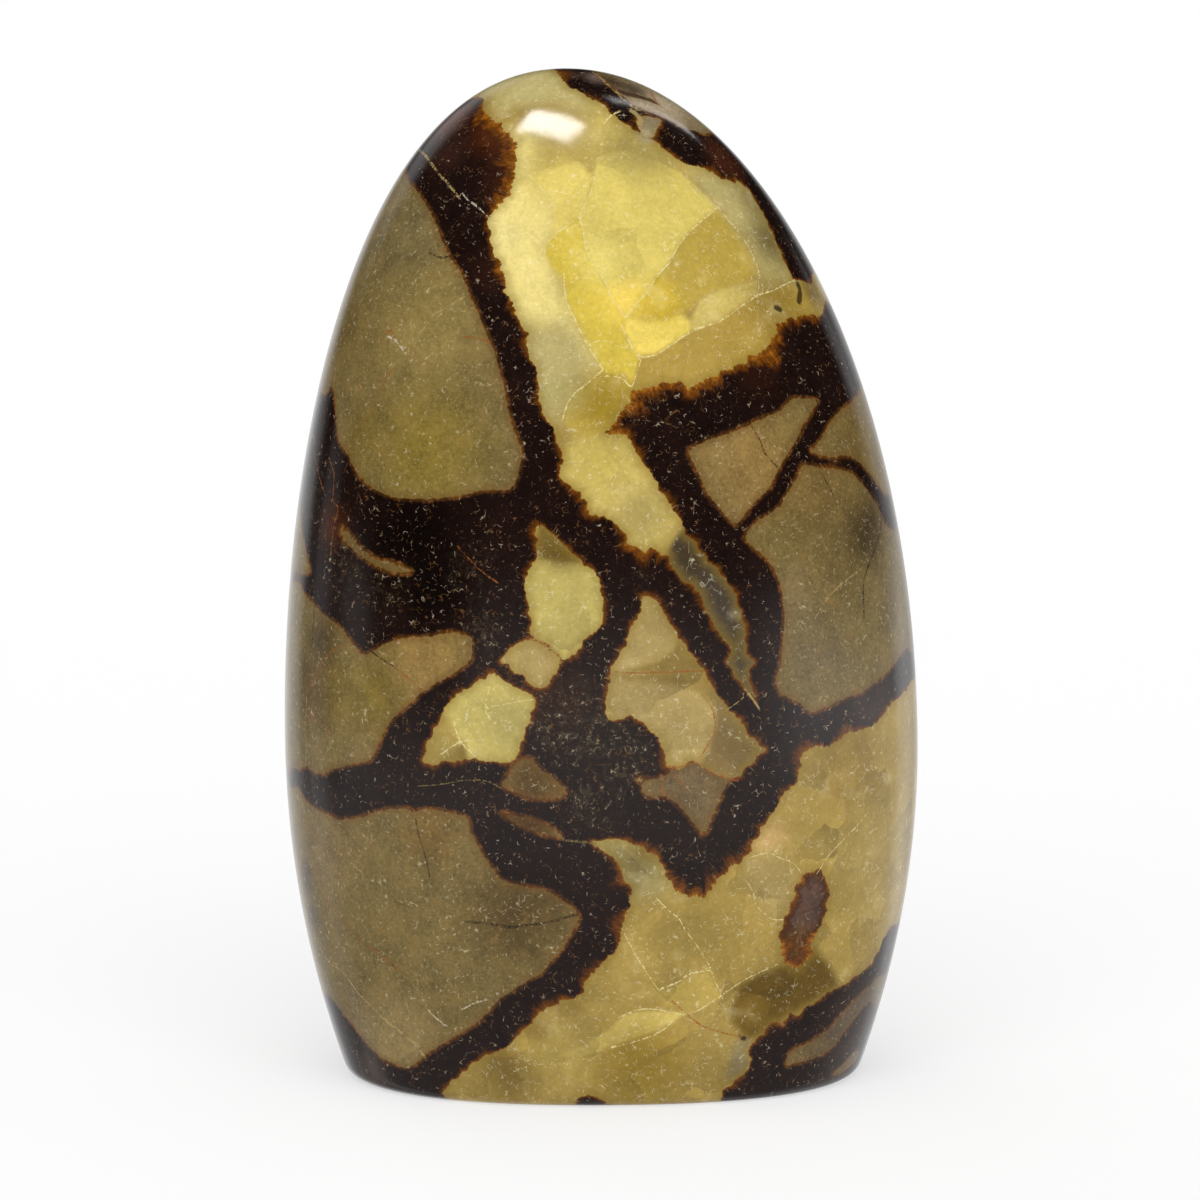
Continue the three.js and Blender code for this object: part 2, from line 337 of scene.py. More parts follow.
# Crystals inside the calcite, later ones over earlier ones: (tone, softness of the edge in mm, outline)
CRYSTALS = [
    ("lemon", 0.22, [
        *LEMON_LEFT, *LEMON_RIGHT[1:], (700, 190), (680, 172), (650, 158), (615, 150), (597, 158),
    ]),
    ("bright", 0.5, [
        (626, 318), (640, 312), (655, 305), (672, 309), (682, 315), (690, 322), (691, 332), (681, 341),
        (671, 345), (655, 355), (640, 356), (630, 348), (629, 342), (623, 329),
    ]),
    ("olive_gold", 0.5, [
        *LEMON_RIGHT[:0:-1], (628, 316), (640, 322), (667, 320), (690, 310), (700, 300), (712, 293),
        (739, 284), (759, 275), (757, 265), (747, 248), (743, 238), (728, 220),
    ]),
    ("straw", 0.35, [
        (700, 300), (712, 293), (739, 284), (759, 280), (757, 296), (751, 298), (742, 306), (720, 321),
        (700, 330), (691, 332), (690, 322),
    ]),
    ("umber", 0.5, [
        (640, 356), (655, 355), (671, 345), (691, 332), (700, 330), *UMBER_JOINT, (812, 286),
        (826, 312), (795, 322), (777, 340), (756, 360), (721, 380), (690, 394), (660, 390), (636, 396),
        (622, 380), (615, 365),
    ]),
    ("sage", 1.6, [
        *SAGE_JOINT, (774, 290), (793, 281), (800, 275), (779, 240), (762, 205), (748, 180), (725, 172),
        (700, 168), (690, 176), (700, 190),
    ]),
    ("cream", 2.4, [
        (500, 130), (480, 210), (488, 245), (500, 290), (515, 318), (535, 330), (562, 335), (592, 368),
        (590, 350), (566, 299), (555, 262), (548, 250), (558, 228), (553, 205), (531, 177), (535, 140),
    ]),
    ("lemon_gold", 0.4, [
        (531, 177), (541, 187), (553, 205), (553, 222), (551, 234), (566, 226), (581, 216), (587, 199),
        (593, 178), (578, 163), (560, 166), (541, 172),
    ]),
    ("gold", 0.35, [
        (581, 216), (583, 232), (586, 249), (594, 265), (611, 298), (626, 318), (623, 329), (630, 348),
        (640, 356), (631, 387), (602, 376), (602, 368), (586, 343), (576, 322), (566, 299), (564, 281),
        (551, 267), (545, 252), (551, 238), (566, 226),
    ]),
    ("sage", 2.2, [
        (476, 90), (520, 70), (560, 66), (572, 84), (600, 104), (585, 116), (555, 104), (520, 104),
        (500, 112),
    ]),
    ("straw", 2.6, [
        (600, 104), (630, 126), (660, 144), (700, 166), (684, 174), (650, 158), (615, 150), (597, 158),
        (585, 140), (588, 120),
    ]),
    ("sage", 2.2, [
        (524, 335), (545, 330), (565, 325), (580, 340), (590, 360), (580, 380), (568, 400), (560, 420),
        (548, 425), (536, 403), (530, 366),
    ]),
    ("olive_gold", 0.4, [
        *NECK_JOINT[::-1], (625, 375), (642, 392), (628, 402), (612, 423), (605, 434), (590, 439),
        (577, 437), (569, 429),
    ]),
    ("straw", 1.2, [
        (577, 437), (605, 434), (632, 437), (641, 463), (657, 476), (671, 507), (681, 520), (660, 545),
        (640, 556), (618, 528), (588, 507), (575, 490), (556, 480), (564, 460), (571, 445),
    ]),
    ("ash", 0.5, [
        (667, 556), (673, 542), (685, 526), (704, 534), (728, 564), (748, 600), (756, 640), (766, 665),
        (764, 708), (750, 712), (732, 690), (712, 650), (700, 615), (682, 590), (662, 575),
    ]),
    ("moss", 0.35, [
        (541, 522), (556, 534), (570, 549), (587, 564), (560, 563), (545, 560), (533, 557), (536, 540),
    ]),
    ("wax", 0.5, [
        (533, 557), (545, 560), (560, 563), (587, 564), (602, 572), (605, 620), (590, 640), (560, 665),
        (540, 640), (526, 600), (522, 580),
    ]),
    ("tan", 0.6, [
        (495, 661), (510, 645), (530, 636), (550, 646), (562, 660), (552, 680), (541, 690), (515, 676),
    ]),
    ("wax", 0.8, [(497, 670), (540, 698), (515, 765), (470, 765), (462, 742), (443, 710), (460, 690)]),
    ("moss", 0.5, [(441, 762), (450, 750), (464, 744), (468, 762)]),
    ("tan", 0.9, [
        (640, 595), (657, 598), (685, 640), (660, 659), (632, 670), (640, 676), (700, 690), (713, 705),
        (717, 720), (713, 740), (704, 757), (700, 766), (690, 760), (670, 768), (650, 735), (600, 722),
        (603, 690), (615, 655), (632, 625),
    ]),
    ("olive", 0.3, [
        (612, 668), (632, 668), (648, 665), (660, 661), (671, 653), (677, 645), (680, 636), (692, 652),
        (702, 668), (670, 671), (632, 671),
    ]),
    ("olive", 0.6, [
        (612, 674), (670, 673), (702, 670), (712, 684), (720, 700), (712, 703), (700, 694), (684, 688),
        (668, 684), (650, 681), (628, 680),
    ]),
    ("tan_olive", 0.4, [
        (712, 684), (745, 725), (770, 748), (745, 785), (712, 776), (700, 766), (710, 748), (716, 728),
        (716, 712), (708, 694),
    ]),
    ("slate", 0.4, [
        (635, 118), (648, 114), (666, 118), (662, 130), (652, 142), (641, 141), (634, 128),
    ]),
    ("moss_gold", 0.8, [
        (741, 984), (760, 973), (780, 965), (800, 952), (815, 949), (830, 965), (840, 988), (824, 996),
        (805, 1008), (785, 1018), (765, 1034), (748, 1042), (735, 1025), (728, 1010), (735, 1000),
        (738, 988),
    ]),
    ("chalk", 1.0, [
        (738, 1040), (752, 1040), (748, 1052), (752, 1064), (737, 1079), (728, 1075), (731, 1060),
    ]),
    ("peach", 1.6, [(758, 828), (775, 818), (787, 840), (770, 850), (745, 858)]),
    ("straw_tan", 1.4, [
        (746, 858), (770, 852), (785, 862), (800, 875), (795, 892), (788, 905), (783, 918), (770, 918),
        (755, 900), (745, 880),
    ]),
    ("sage", 1.6, [
        (588, 838), (622, 838), (645, 850), (661, 868), (671, 887), (655, 893), (632, 896), (624, 881),
        (616, 862), (603, 850),
    ]),
    ("straw", 0.3, [
        (560, 1056), (585, 1044), (612, 1028), (622, 1016), (640, 1011), (668, 1012), (688, 1012),
        (672, 1022), (655, 1030), (630, 1040), (601, 1050), (580, 1058),
    ]),
    ("gold_tan", 0.5, [
        (659, 992), (680, 982), (708, 970), (715, 985), (721, 996), (700, 1008), (687, 1014),
        (666, 1003),
    ]),
    ("cream", 1.6, behind((-12, 108), (-2, 108), (-1, 92), (-12, 92))),
    ("lemon", 0.3, behind((-11, 92), (1, 95), (1, 86), (-9, 79))),
    ("olive_gold", 0.4, behind((-9, 79), (2, 82), (3, 74), (-6, 70))),
    ("straw", 0.4, behind((-6, 70), (3, 74), (12, 70), (7, 62), (-3, 62))),
    ("umber", 0.5, behind((14, 69), (28, 62), (26, 54), (15, 58))),
    ("wax", 0.5, behind((-6, 64), (-2, 57), (-9, 49), (-14, 54))),
    ("sage", 0.8, behind((-15, 54), (-10, 48), (-25, 43), (-25, 49))),
    ("straw", 0.4, behind((-6, 24), (4, 26), (6, 16), (-3, 12))),
    ("tan", 0.5, behind((6, 16), (9, 26), (17, 24), (15, 14))),
    ("gold_tan", 0.4, at((97, 50), (112, 51), (113, 42), (101, 38))),
    ("straw", 0.4, at((113, 42), (129, 47), (131, 37), (120, 32))),
    ("tan", 0.6, at((101, 38), (113, 42), (120, 32), (112, 24), (98, 28))),
]
# Colours as they look in the studio light
TONES = {
    "lemon": "d1bd65",
    "bright": "e4ca62",
    "olive_gold": "b59c4a",
    "straw": "c4ae62",
    "umber": "ab9048",
    "sage": "b5a66c",
    "gold": "cfb64c",
    "cream": "e4d182",
    "lemon_gold": "d4be66",
    "ash": "4b4238",
    "moss": "6f5c33",
    "wax": "b5a55f",
    "tan": "a58f59",
    "olive": "8c7540",
    "tan_olive": "7d6943",
    "moss_gold": "66501c",
    "chalk": "8c7d5a",
    "slate": "867a68",
    "peach": "bd9c64",
    "straw_tan": "a08a55",
    "gold_tan": "b09850",
}
CALCITE_TONE = "a0884a"
MUDSTONE_TONE = "74643f"
SEAM_TONE = "180d0a"  # this one is the pigment itself

# Hairlines, and a few short black marks that are painted shade of small pits: (kind, half width in mm,
# points)
THREADS = [
    ("rust", 0.07, [
        (356, 306), (352, 322), (345, 336), (342, 345), (339, 357), (335, 372), (333, 384),
    ]),
    ("tan", 0.05, [(460, 299), (446, 308), (432, 316), (423, 329), (411, 341)]),
    ("black", 0.08, [(432, 254), (440, 258), (446, 257)]),
    ("rust", 0.07, [(462, 338), (473, 337), (487, 341)]),
    ("rust", 0.06, [(381, 341), (386, 333), (392, 331), (395, 337)]),
    ("white", 0.09, [(389, 337), (396, 341), (404, 351)]),
    ("rust", 0.05, [
        (392, 370), (384, 379), (379, 391), (375, 403), (368, 417), (361, 424), (355, 436), (347, 448),
    ]),
    ("black", 0.08, [(372, 652), (380, 658), (391, 665), (398, 671)]),
    ("rust", 0.09, [(391, 665), (400, 672), (409, 679), (424, 692)]),
    ("rust", 0.06, [(343, 646), (333, 650), (326, 657), (319, 669), (315, 680), (308, 688)]),
    ("tan", 0.05, [(307, 692), (306, 715), (306, 744), (306, 762)]),
    ("rust", 0.05, [(311, 715), (321, 723), (329, 731)]),
    ("black", 0.08, [(315, 596), (314, 614), (313, 628), (312, 643)]),
    ("rust", 0.07, [(330, 461), (334, 475), (333, 500), (338, 508), (334, 525), (331, 552)]),
    ("rust", 0.06, [(313, 435), (315, 445), (314, 455), (317, 465), (319, 476), (324, 492)]),
    ("black", 0.07, [(416, 822), (419, 836), (422, 845), (426, 860), (429, 874)]),
    ("rust", 0.06, [
        (312, 853), (317, 872), (324, 890), (331, 904), (341, 919), (352, 931), (362, 941), (374, 951),
        (392, 964), (399, 970),
    ]),
    ("black", 0.14, [(391, 964), (394, 966)]),
    ("tan", 0.05, [(337, 851), (345, 858), (352, 864), (360, 871)]),
    ("black", 0.1, [
        (575, 915), (567, 917), (557, 920), (544, 923), (528, 925), (512, 927), (497, 925), (485, 923),
        (468, 922),
    ]),
    ("tan", 0.11, [(382, 1018), (395, 1027), (407, 1038), (417, 1045), (423, 1055)]),
    ("tan", 0.05, [
        (321, 949), (331, 964), (341, 970), (349, 980), (358, 993), (368, 1003), (378, 1013),
    ]),
    ("white", 0.05, [(430, 1012), (437, 1019), (445, 1025)]),
    ("white", 0.05, [(465, 1008), (475, 1003), (485, 1000)]),
    ("tan", 0.05, [(859, 570), (848, 579), (837, 588), (824, 603), (816, 617)]),
    ("black", 0.11, [
        (881, 513), (881, 526), (878, 540), (872, 556), (866, 573), (863, 591), (864, 615),
    ]),
    ("black", 0.08, [(750, 423), (760, 441), (764, 452), (775, 465)]),
    ("rust", 0.05, [(754, 429), (763, 447), (769, 459)]),
    ("black", 0.06, [(824, 478), (832, 493)]),
    ("rust", 0.09, [(616, 672), (640, 673), (663, 672), (700, 671)]),
    ("rust", 0.1, [(671, 767), (682, 767), (692, 762), (702, 765), (712, 773), (721, 776), (735, 780)]),
    ("rust", 0.07, [(661, 778), (662, 788), (666, 796)]),
    ("rust", 0.06, [(672, 770), (678, 778), (685, 789)]),
    ("tan", 0.06, [(620, 676), (624, 684), (630, 699), (634, 708)]),
    ("rust", 0.06, [(704, 697), (712, 709), (715, 723), (714, 736), (708, 744), (702, 755)]),
    ("rust", 0.08, [(530, 638), (540, 642), (550, 648), (558, 656)]),
    ("tan", 0.09, [(419, 150), (427, 158), (438, 173), (446, 181), (452, 189), (458, 196)]),
    ("white", 0.06, [(463, 194), (468, 200), (480, 209), (487, 216)]),
    ("rust", 0.05, [(460, 549), (471, 561), (481, 571), (495, 581)]),
    ("olive", 0.05, [(421, 786), (444, 784), (460, 781), (477, 780), (489, 782), (499, 787)]),
    ("olive", 0.1, [(557, 834), (565, 840), (582, 842), (596, 845)]),
    ("tan", 0.08, [(747, 692), (753, 700), (758, 707)]),
    ("tan", 0.05, [(728, 709), (738, 702), (743, 698)]),
    ("cream", 0.04, [
        (659, 901), (669, 911), (679, 919), (686, 931), (696, 944), (702, 954), (711, 968),
    ]),
    ("cream", 0.03, [(624, 933), (635, 954), (645, 970), (655, 985), (659, 991)]),
    ("cream", 0.05, [(659, 990), (678, 982), (688, 975), (698, 972), (711, 970)]),
    ("cream", 0.04, [(711, 970), (715, 981), (722, 995)]),
    ("cream", 0.035, [(722, 995), (741, 982), (756, 974), (774, 966)]),
    ("cream", 0.035, [
        (722, 995), (705, 1006), (690, 1014), (676, 1013), (661, 1010), (641, 1009), (622, 1016),
    ]),
    ("cream", 0.03, [(866, 815), (846, 837), (829, 855), (818, 872)]),
    ("cream", 0.04, [(600, 1050), (630, 1043), (660, 1032), (672, 1022)]),
    ("cream", 0.03, [(752, 857), (768, 853), (780, 858), (793, 863), (799, 870)]),
    ("cream", 0.03, [(747, 882), (753, 892), (756, 905), (764, 913), (772, 919), (780, 920)]),
    ("rust", 0.07, [(674, 1003), (688, 1015), (702, 1026), (717, 1031), (731, 1035), (741, 1037)]),
    ("black", 0.16, [(738, 1036), (743, 1038)]),
    ("cream", 0.04, [(489, 690), (485, 708), (489, 717)]),
    ("cream", 0.04, [(485, 708), (501, 705), (516, 702), (530, 700)]),
    ("cream", 0.05, [(454, 723), (460, 741), (473, 754)]),
    ("cream", 0.05, [(460, 741), (452, 747), (444, 752)]),
    ("cream", 0.05, LEMON_LEFT),
    ("cream", 0.05, LEMON_RIGHT),
    ("cream", 0.05, [
        (623, 329), (629, 342), (640, 356), (655, 355), (671, 345), (691, 332), *UMBER_JOINT,
    ]),
    ("cream", 0.04, SAGE_JOINT),
    ("cream", 0.045, [(564, 276), (566, 299), (576, 322), (586, 343), (602, 368)]),
    ("cream", 0.03, [(581, 216), (566, 226), (551, 238), (545, 252)]),
    ("cream", 0.035, [(531, 177), (541, 187), (553, 205)]),
    ("cream", 0.03, [(552, 207), (568, 201), (581, 190), (592, 178)]),
    ("cream", 0.03, [(588, 343), (607, 341), (618, 346), (630, 349)]),
    ("cream", 0.04, [(602, 376), (621, 378), (631, 387), (637, 372), (641, 360)]),
    ("cream", 0.05, NECK_JOINT),
    # A small pit: its black is painted shade, as the pit is not cut into the skin
    ("black", 0.3, [(798, 285), (800, 291), (799, 301)]),
    ("black", 0.22, [(777, 308), (779, 309)]),
    ("brown", 0.32, [(618, 91), (628, 94), (640, 97), (650, 100), (657, 103)]),
    ("rust", 0.12, [(651, 92), (654, 98), (659, 104)]),
    ("tan", 0.12, [(594, 73), (605, 82), (616, 92), (623, 99), (633, 107), (638, 109)]),
    ("tan", 0.2, [(633, 112), (637, 115), (641, 119), (640, 123)]),
    # A small pit: its black is painted shade
    ("black", 0.26, [(637, 110), (640, 112)]),
    ("cream", 0.08, [(606, 121), (611, 116), (618, 112)]),
    ("rust", 0.07, behind((4, 92), (9, 87), (12, 80), (18, 76))),
    ("black", 0.09, behind((-14, 86), (-19, 81), (-22, 73), (-21, 66))),
    ("tan", 0.07, behind((12, 51), (6, 45), (3, 36), (-3, 31))),
    ("rust", 0.06, behind((-23, 34), (-19, 28), (-15, 20), (-16, 14))),
    ("rust", 0.06, behind((-9, 40), (-2, 42), (6, 40), (15, 43))),
    ("cream", 0.05, behind((-8.5, 92), (-1.5, 94))),
    ("cream", 0.05, behind((-6.5, 80.5), (-4, 83), (-2.5, 84))),
    ("cream", 0.05, behind((-4.5, 70), (-1, 71), (2.5, 73))),
    ("cream", 0.05, behind((6, 16), (5, 20), (5.5, 23))),
    ("cream", 0.05, at((102, 39), (107, 41), (112.5, 42.5))),
    ("cream", 0.05, at((113, 42), (117, 37), (120, 32), (126, 34))),
    ("rust", 0.06, at((96, 62), (102, 58), (108, 60), (113, 57))),
    ("black", 0.08, at((106, 79), (101, 75), (99, 71))),
    ("tan", 0.06, at((-98, 100), (-106, 94), (-112, 86))),
    ("rust", 0.06, at((-99, 52), (-108, 48), (-117, 50))),
    ("rust", 0.06, at((-97, 30), (-106, 22), (-114, 14))),
]
# Colours of the hairlines and of the painted pit shade, as pigments
THREAD_COLOURS = {
    "rust": "85491a",
    "black": "1c140d",
    "brown": "3c2010",
    "tan": "9c8656",
    "cream": "d2c68c",
    "olive": "6b5c36",
    "white": "b5a992",
}

# How wide the translucent fringe along the seam is, in mm, and where it is wider:
# (point, reach in pixels, width)
FRINGE = 0.9
WIDE_FRINGES = [
    (496, 118, 30, 5.0), (505, 150, 34, 4.2), (508, 188, 26, 4.0), (640, 395, 34, 3.4),
    (700, 382, 40, 3.0), (770, 348, 36, 3.8), (808, 322, 24, 2.2), (612, 428, 20, 2.4),
    (585, 500, 26, 1.8), (625, 540, 24, 1.6), (655, 560, 18, 1.5), (690, 890, 30, 2.4),
    (655, 862, 34, 1.7), (800, 955, 30, 3.4), (800, 885, 34, 2.2), (740, 180, 24, 1.8),
    (712, 160, 26, 2.0), (505, 300, 26, 1.5), (498, 272, 18, 2.4), (640, 556, 22, 2.8),
    (650, 592, 20, 2.0), (620, 900, 50, 1.5), (560, 1000, 50, 1.6), (740, 855, 40, 1.8),
    (840, 742, 60, 1.6), (775, 1035, 34, 1.6), (560, 70, 30, 2.0), (650, 150, 26, 1.6),
    ("back", -5, 104, 50, 3.0), ("back", 3, 74, 50, 3.0), ("back", -17, 50, 40, 2.6),
    ("back", 23, 58, 36, 2.4), ("back", -5, 20, 40, 2.6), ("back", 14, 20, 40, 2.2),
    ("round", 128, 44, 60, 2.4), ("round", 112, 18, 50, 2.6), ("round", 110, 92, 40, 2.0),
]
# How thick pale healed cracks lie in the seam, and patches thick with them:
# (point, reach in pixels, strength)
CRACKLE = 0.25
CRACKLES = [
    (575, 725, 60, 1.0), (628, 765, 45, 0.9), (480, 630, 40, 0.8), (470, 570, 45, 0.6),
    (590, 800, 50, 0.8), (640, 580, 26, 0.6), (715, 150, 26, 0.7), (345, 590, 40, 0.5),
    (700, 850, 40, 0.5), (400, 780, 40, 0.5), (805, 915, 40, 0.9), (345, 560, 45, 0.8),
    (385, 590, 50, 0.6), ("back", -2, 58, 70, 0.8), ("back", 21, 34, 60, 0.7),
    ("round", -118, 62, 60, 0.6), ("round", 112, 84, 50, 0.5),
]
# Soft washes of colour, later ones over earlier ones, a few of the seam's being painted sheen: (point,
# reach in pixels, tone, strength)
CALCITE_WASHES = [
    (626, 300, 24, "ebcc5e", 0.9), (600, 262, 26, "ebd87a", 0.6), (560, 180, 40, "d6c168", 0.6),
    (492, 240, 26, "eadc9c", 0.3), (535, 350, 34, "b4a56e", 0.5), (640, 152, 34, "9a8a50", 0.9),
    (770, 240, 30, "5a4c30", 0.8), (752, 200, 22, "6a5c3c", 0.7), (692, 556, 18, "463b28", 0.8),
    (735, 645, 18, "52462f", 0.6), (646, 136, 9, "b8aa8c", 0.9), (640, 515, 30, "a39158", 0.8),
    (600, 405, 30, "957c2c", 0.9), (775, 305, 34, "836a2e", 0.8), (530, 86, 26, "c0b278", 0.9),
    (660, 300, 22, "caac36", 0.9), (632, 872, 34, "7a6d44", 0.9), (560, 552, 20, "68562d", 0.8),
    (850, 760, 55, "8d7338", 0.8), (645, 850, 18, "665228", 0.7), (812, 292, 18, "5c4c30", 0.7),
    (880, 850, 60, "aa945c", 0.6), (640, 1065, 50, "8a7230", 0.9), (560, 1050, 40, "a89250", 0.7),
    (600, 460, 30, "b9a453", 0.7), (512, 720, 24, "9b8e58", 0.8), (748, 1012, 18, "7c6430", 0.8),
    (440, 750, 20, "94824a", 0.8), (690, 930, 26, "907b42", 0.7), (565, 395, 24, "a79a62", 0.6),
    (735, 745, 30, "75623e", 0.7), (600, 962, 15, "86703c", 0.7), (566, 1003, 16, "806838", 0.8),
    (536, 1028, 15, "806838", 0.8), (500, 1055, 14, "7c6438", 0.8),
    ("round", 128, 30, 60, "8a7440", 0.7), ("back", 12, 18, 40, "8a7642", 0.6),
    (510, 1076, 30, "66522a", 0.8),
]
MUDSTONE_WASHES = [
    (415, 230, 55, "756746", 0.9), (430, 330, 60, "8b7949", 0.9), (430, 450, 60, "816f37", 1.0),
    (345, 330, 32, "6a5c38", 0.8), (365, 440, 34, "786638", 0.8), (315, 690, 40, "594829", 0.9),
    (365, 695, 45, "766432", 1.0), (430, 655, 45, "917646", 1.0), (325, 850, 45, "7a6747", 0.8),
    (520, 915, 55, "53432a", 0.9), (430, 835, 35, "6f5833", 0.8), (395, 1035, 45, "8c7952", 0.9),
    (350, 990, 40, "6e5c3a", 0.5), (690, 790, 50, "6d5c43", 1.0), (535, 780, 40, "5e4a2e", 1.0),
    (750, 460, 60, "8c7244", 1.0), (820, 490, 40, "745e3a", 0.8), (840, 560, 50, "6c5c3c", 0.9),
    (792, 600, 34, "7d6c4c", 0.8), (820, 660, 45, "6c5e42", 0.9), (850, 430, 40, "76623c", 0.8),
    (888, 600, 24, "6a5a3c", 0.7), (660, 100, 60, "9a896c", 1.0), (850, 1010, 70, "5e5140", 1.0),
    (375, 552, 40, "665839", 1.0), (530, 824, 30, "43331f", 1.0), (610, 82, 20, "463a30", 1.0),
    (634, 90, 15, "4a3e34", 0.9), (668, 104, 20, "b0a084", 1.0), (306, 876, 20, "4c4036", 0.9),
    (312, 915, 16, "50443a", 0.8), ("back", 14, 86, 90, "7d6d48", 0.9),
    ("back", -20, 76, 90, "6a5d3e", 0.9), ("back", 4, 44, 80, "84714a", 0.9),
    ("back", -19, 28, 70, "6c5a38", 0.9), ("back", 23, 12, 60, "5e5034", 0.9),
    ("round", 104, 76, 50, "6a5c3c", 0.8), ("round", -106, 45, 70, "6e5e3c", 0.8),
    (868, 530, 34, "463a28", 0.9), (322, 640, 26, "483a22", 0.8),
]
SEAM_WASHES_AND_SHEEN = [
    (815, 888, 28, "5c463e", 1.0), (804, 920, 34, "5a443c", 1.0), (797, 950, 26, "6a4a26", 1.0),
    (872, 702, 34, "382c27", 0.9), (722, 155, 24, "4a2c18", 0.7), (333, 525, 22, "4e3018", 0.8),
    # (452, 120) reddens the seam at the upper left: partly its orange lines, partly painted sheen of
    # the haze there
    (452, 120, 26, "5a3418", 0.8), (560, 700, 30, "3a2415", 0.8), (500, 130, 40, "3a1f0e", 0.5),
    (600, 740, 50, "2b221c", 0.6), (345, 585, 40, "2c211d", 0.8), (850, 1030, 50, "3a2e22", 0.8),
    # (448, 152) lightens the seam there to purple brown: partly the seam's own brown, partly painted
    # sheen
    (412, 540, 56, "0b0706", 0.8), (430, 598, 34, "0e0908", 0.8), (448, 152, 22, "3e2a22", 0.9),
    (494, 134, 24, "5c3418", 0.7), (500, 180, 20, "442614", 0.5), (730, 168, 22, "46281a", 0.7),
    (760, 372, 24, "3a2216", 0.6), (490, 270, 20, "382014", 0.6), (372, 1072, 20, "46382f", 0.9),
    # These two lighten the dark seam at the crown to purple grey: painted reflection of the bright wall
    (597, 77, 14, "6c5c54", 0.9), (566, 74, 12, "644c42", 0.8),
]


# ---------------------------------------------------------------- the skin


def half_extent(z, widest, base):
    """Half the stone's width or depth at heights z: it bends in a little below, and closes on top."""
    rise = np.clip((z - WIDEST_Z) / (HEIGHT - WIDEST_Z), 0, 1)
    drop = np.clip((WIDEST_Z - z) / WIDEST_Z, 0, 1)
    crown = widest / 2 * (1 - rise**2) ** (1 / CROWN_POWER)
    flank = widest / 2 - (widest - base) / 2 * drop**2
    return np.where(z >= WIDEST_Z, crown, flank)


def edge_inset(z):
    """How far the rounded edge of the base draws the sides in at heights z."""
    below = np.clip(BASE_EDGE_RADIUS - z, 0, BASE_EDGE_RADIUS)
    return BASE_EDGE_RADIUS - np.sqrt(BASE_EDGE_RADIUS**2 - below**2)


def section(z):
    """Centre, half extents and squareness of the level sections at heights z."""
    share = z / HEIGHT
    inset = edge_inset(z)
    half_width = half_extent(z, WIDTH, BASE_WIDTH) - inset
    half_depth = half_extent(z, DEPTH, BASE_DEPTH) - inset
    power = 2 + (SECTION_POWER - 2) * (1 - share**4)
    return -CROWN_LEAN * share**3, BACK_LEAN * share**3, half_width, half_depth, power


def outline_middle():
    """The middle of the whole stone's width and depth, which stands over the frame's origin."""
    z = np.linspace(0, HEIGHT, OUTLINE_LEVELS)
    cx, cy, half_width, half_depth, _ = section(z)
    x = ((cx - half_width).min() + (cx + half_width).max()) / 2
    y = ((cy - half_depth).min() + (cy + half_depth).max()) / 2
    return np.array([x, y, 0.0])


MIDDLE = outline_middle()


def reach(points):
    """Below 1 inside the stone, 1 on its sides, above 1 outside."""
    z = points[:, 2]
    level = np.clip(z, 0, HEIGHT * JUST_BELOW)
    cx, cy, half_width, half_depth, power = section(level)
    x = np.abs(points[:, 0] + MIDDLE[0] - cx) / half_width
    y = np.abs(points[:, 1] + MIDDLE[1] - cy) / half_depth
    sides = (x**power + y**power) ** (1 / power)
    beyond = np.maximum(np.maximum(-z, z - HEIGHT), 0)
    return np.where(beyond > 0, np.maximum(sides, 1) + beyond, sides)


def onto_skin(points):
    """Moves points in or out along the lines from INNER until they lie on the skin."""
    way = points - INNER
    way = way / np.linalg.norm(way, axis=1, keepdims=True)
    near = np.zeros(len(points))
    far = np.full(len(points), HEIGHT)
    for _ in range(HALVINGS):
        half = (near + far) / 2
        inside = reach(INNER + way * half[:, None]) < 1
        near = np.where(inside, half, near)
        far = np.where(inside, far, half)
    return INNER + way * near[:, None]


def camera_axes():
    """The camera's right, up and backward directions."""
    a, e = CAMERA_AZIMUTH, CAMERA_ELEVATION
    back = np.array([math.sin(a) * math.cos(e), -math.cos(a) * math.cos(e), math.sin(e)])
    right = np.array([math.cos(a), math.sin(a), 0.0])
    return right, np.cross(back, right), back


RIGHT, UP, BACK = camera_axes()
EYE = np.array([0.0, 0.0, AIM[2]]) + RIGHT * AIM[0] + BACK * CAMERA_DISTANCE


def seen_at(pixels):
    """Where the camera's rays through these pixels first meet the skin."""
    pixels = np.asarray(pixels, float)
    per_pixel = VIEW_WIDTH / FRAME_PIXELS
    across = (pixels[:, 0] - FRAME_PIXELS / 2) * per_pixel
    upward = (FRAME_PIXELS / 2 - pixels[:, 1]) * per_pixel
    way = -BACK * CAMERA_DISTANCE + across[:, None] * RIGHT + upward[:, None] * UP
    way = way / np.linalg.norm(way, axis=1, keepdims=True)
    depth = np.array([reach(EYE + way * step) for step in RAY_STEPS])
    far = RAY_STEPS[depth.argmin(0)]
    near = np.full(len(pixels), RAY_START)
    for _ in range(HALVINGS):
        half = (near + far) / 2
        inside = reach(EYE + way * half[:, None]) < 1
        far = np.where(inside, half, far)
        near = np.where(inside, near, half)
    return onto_skin(EYE + way * far[:, None])


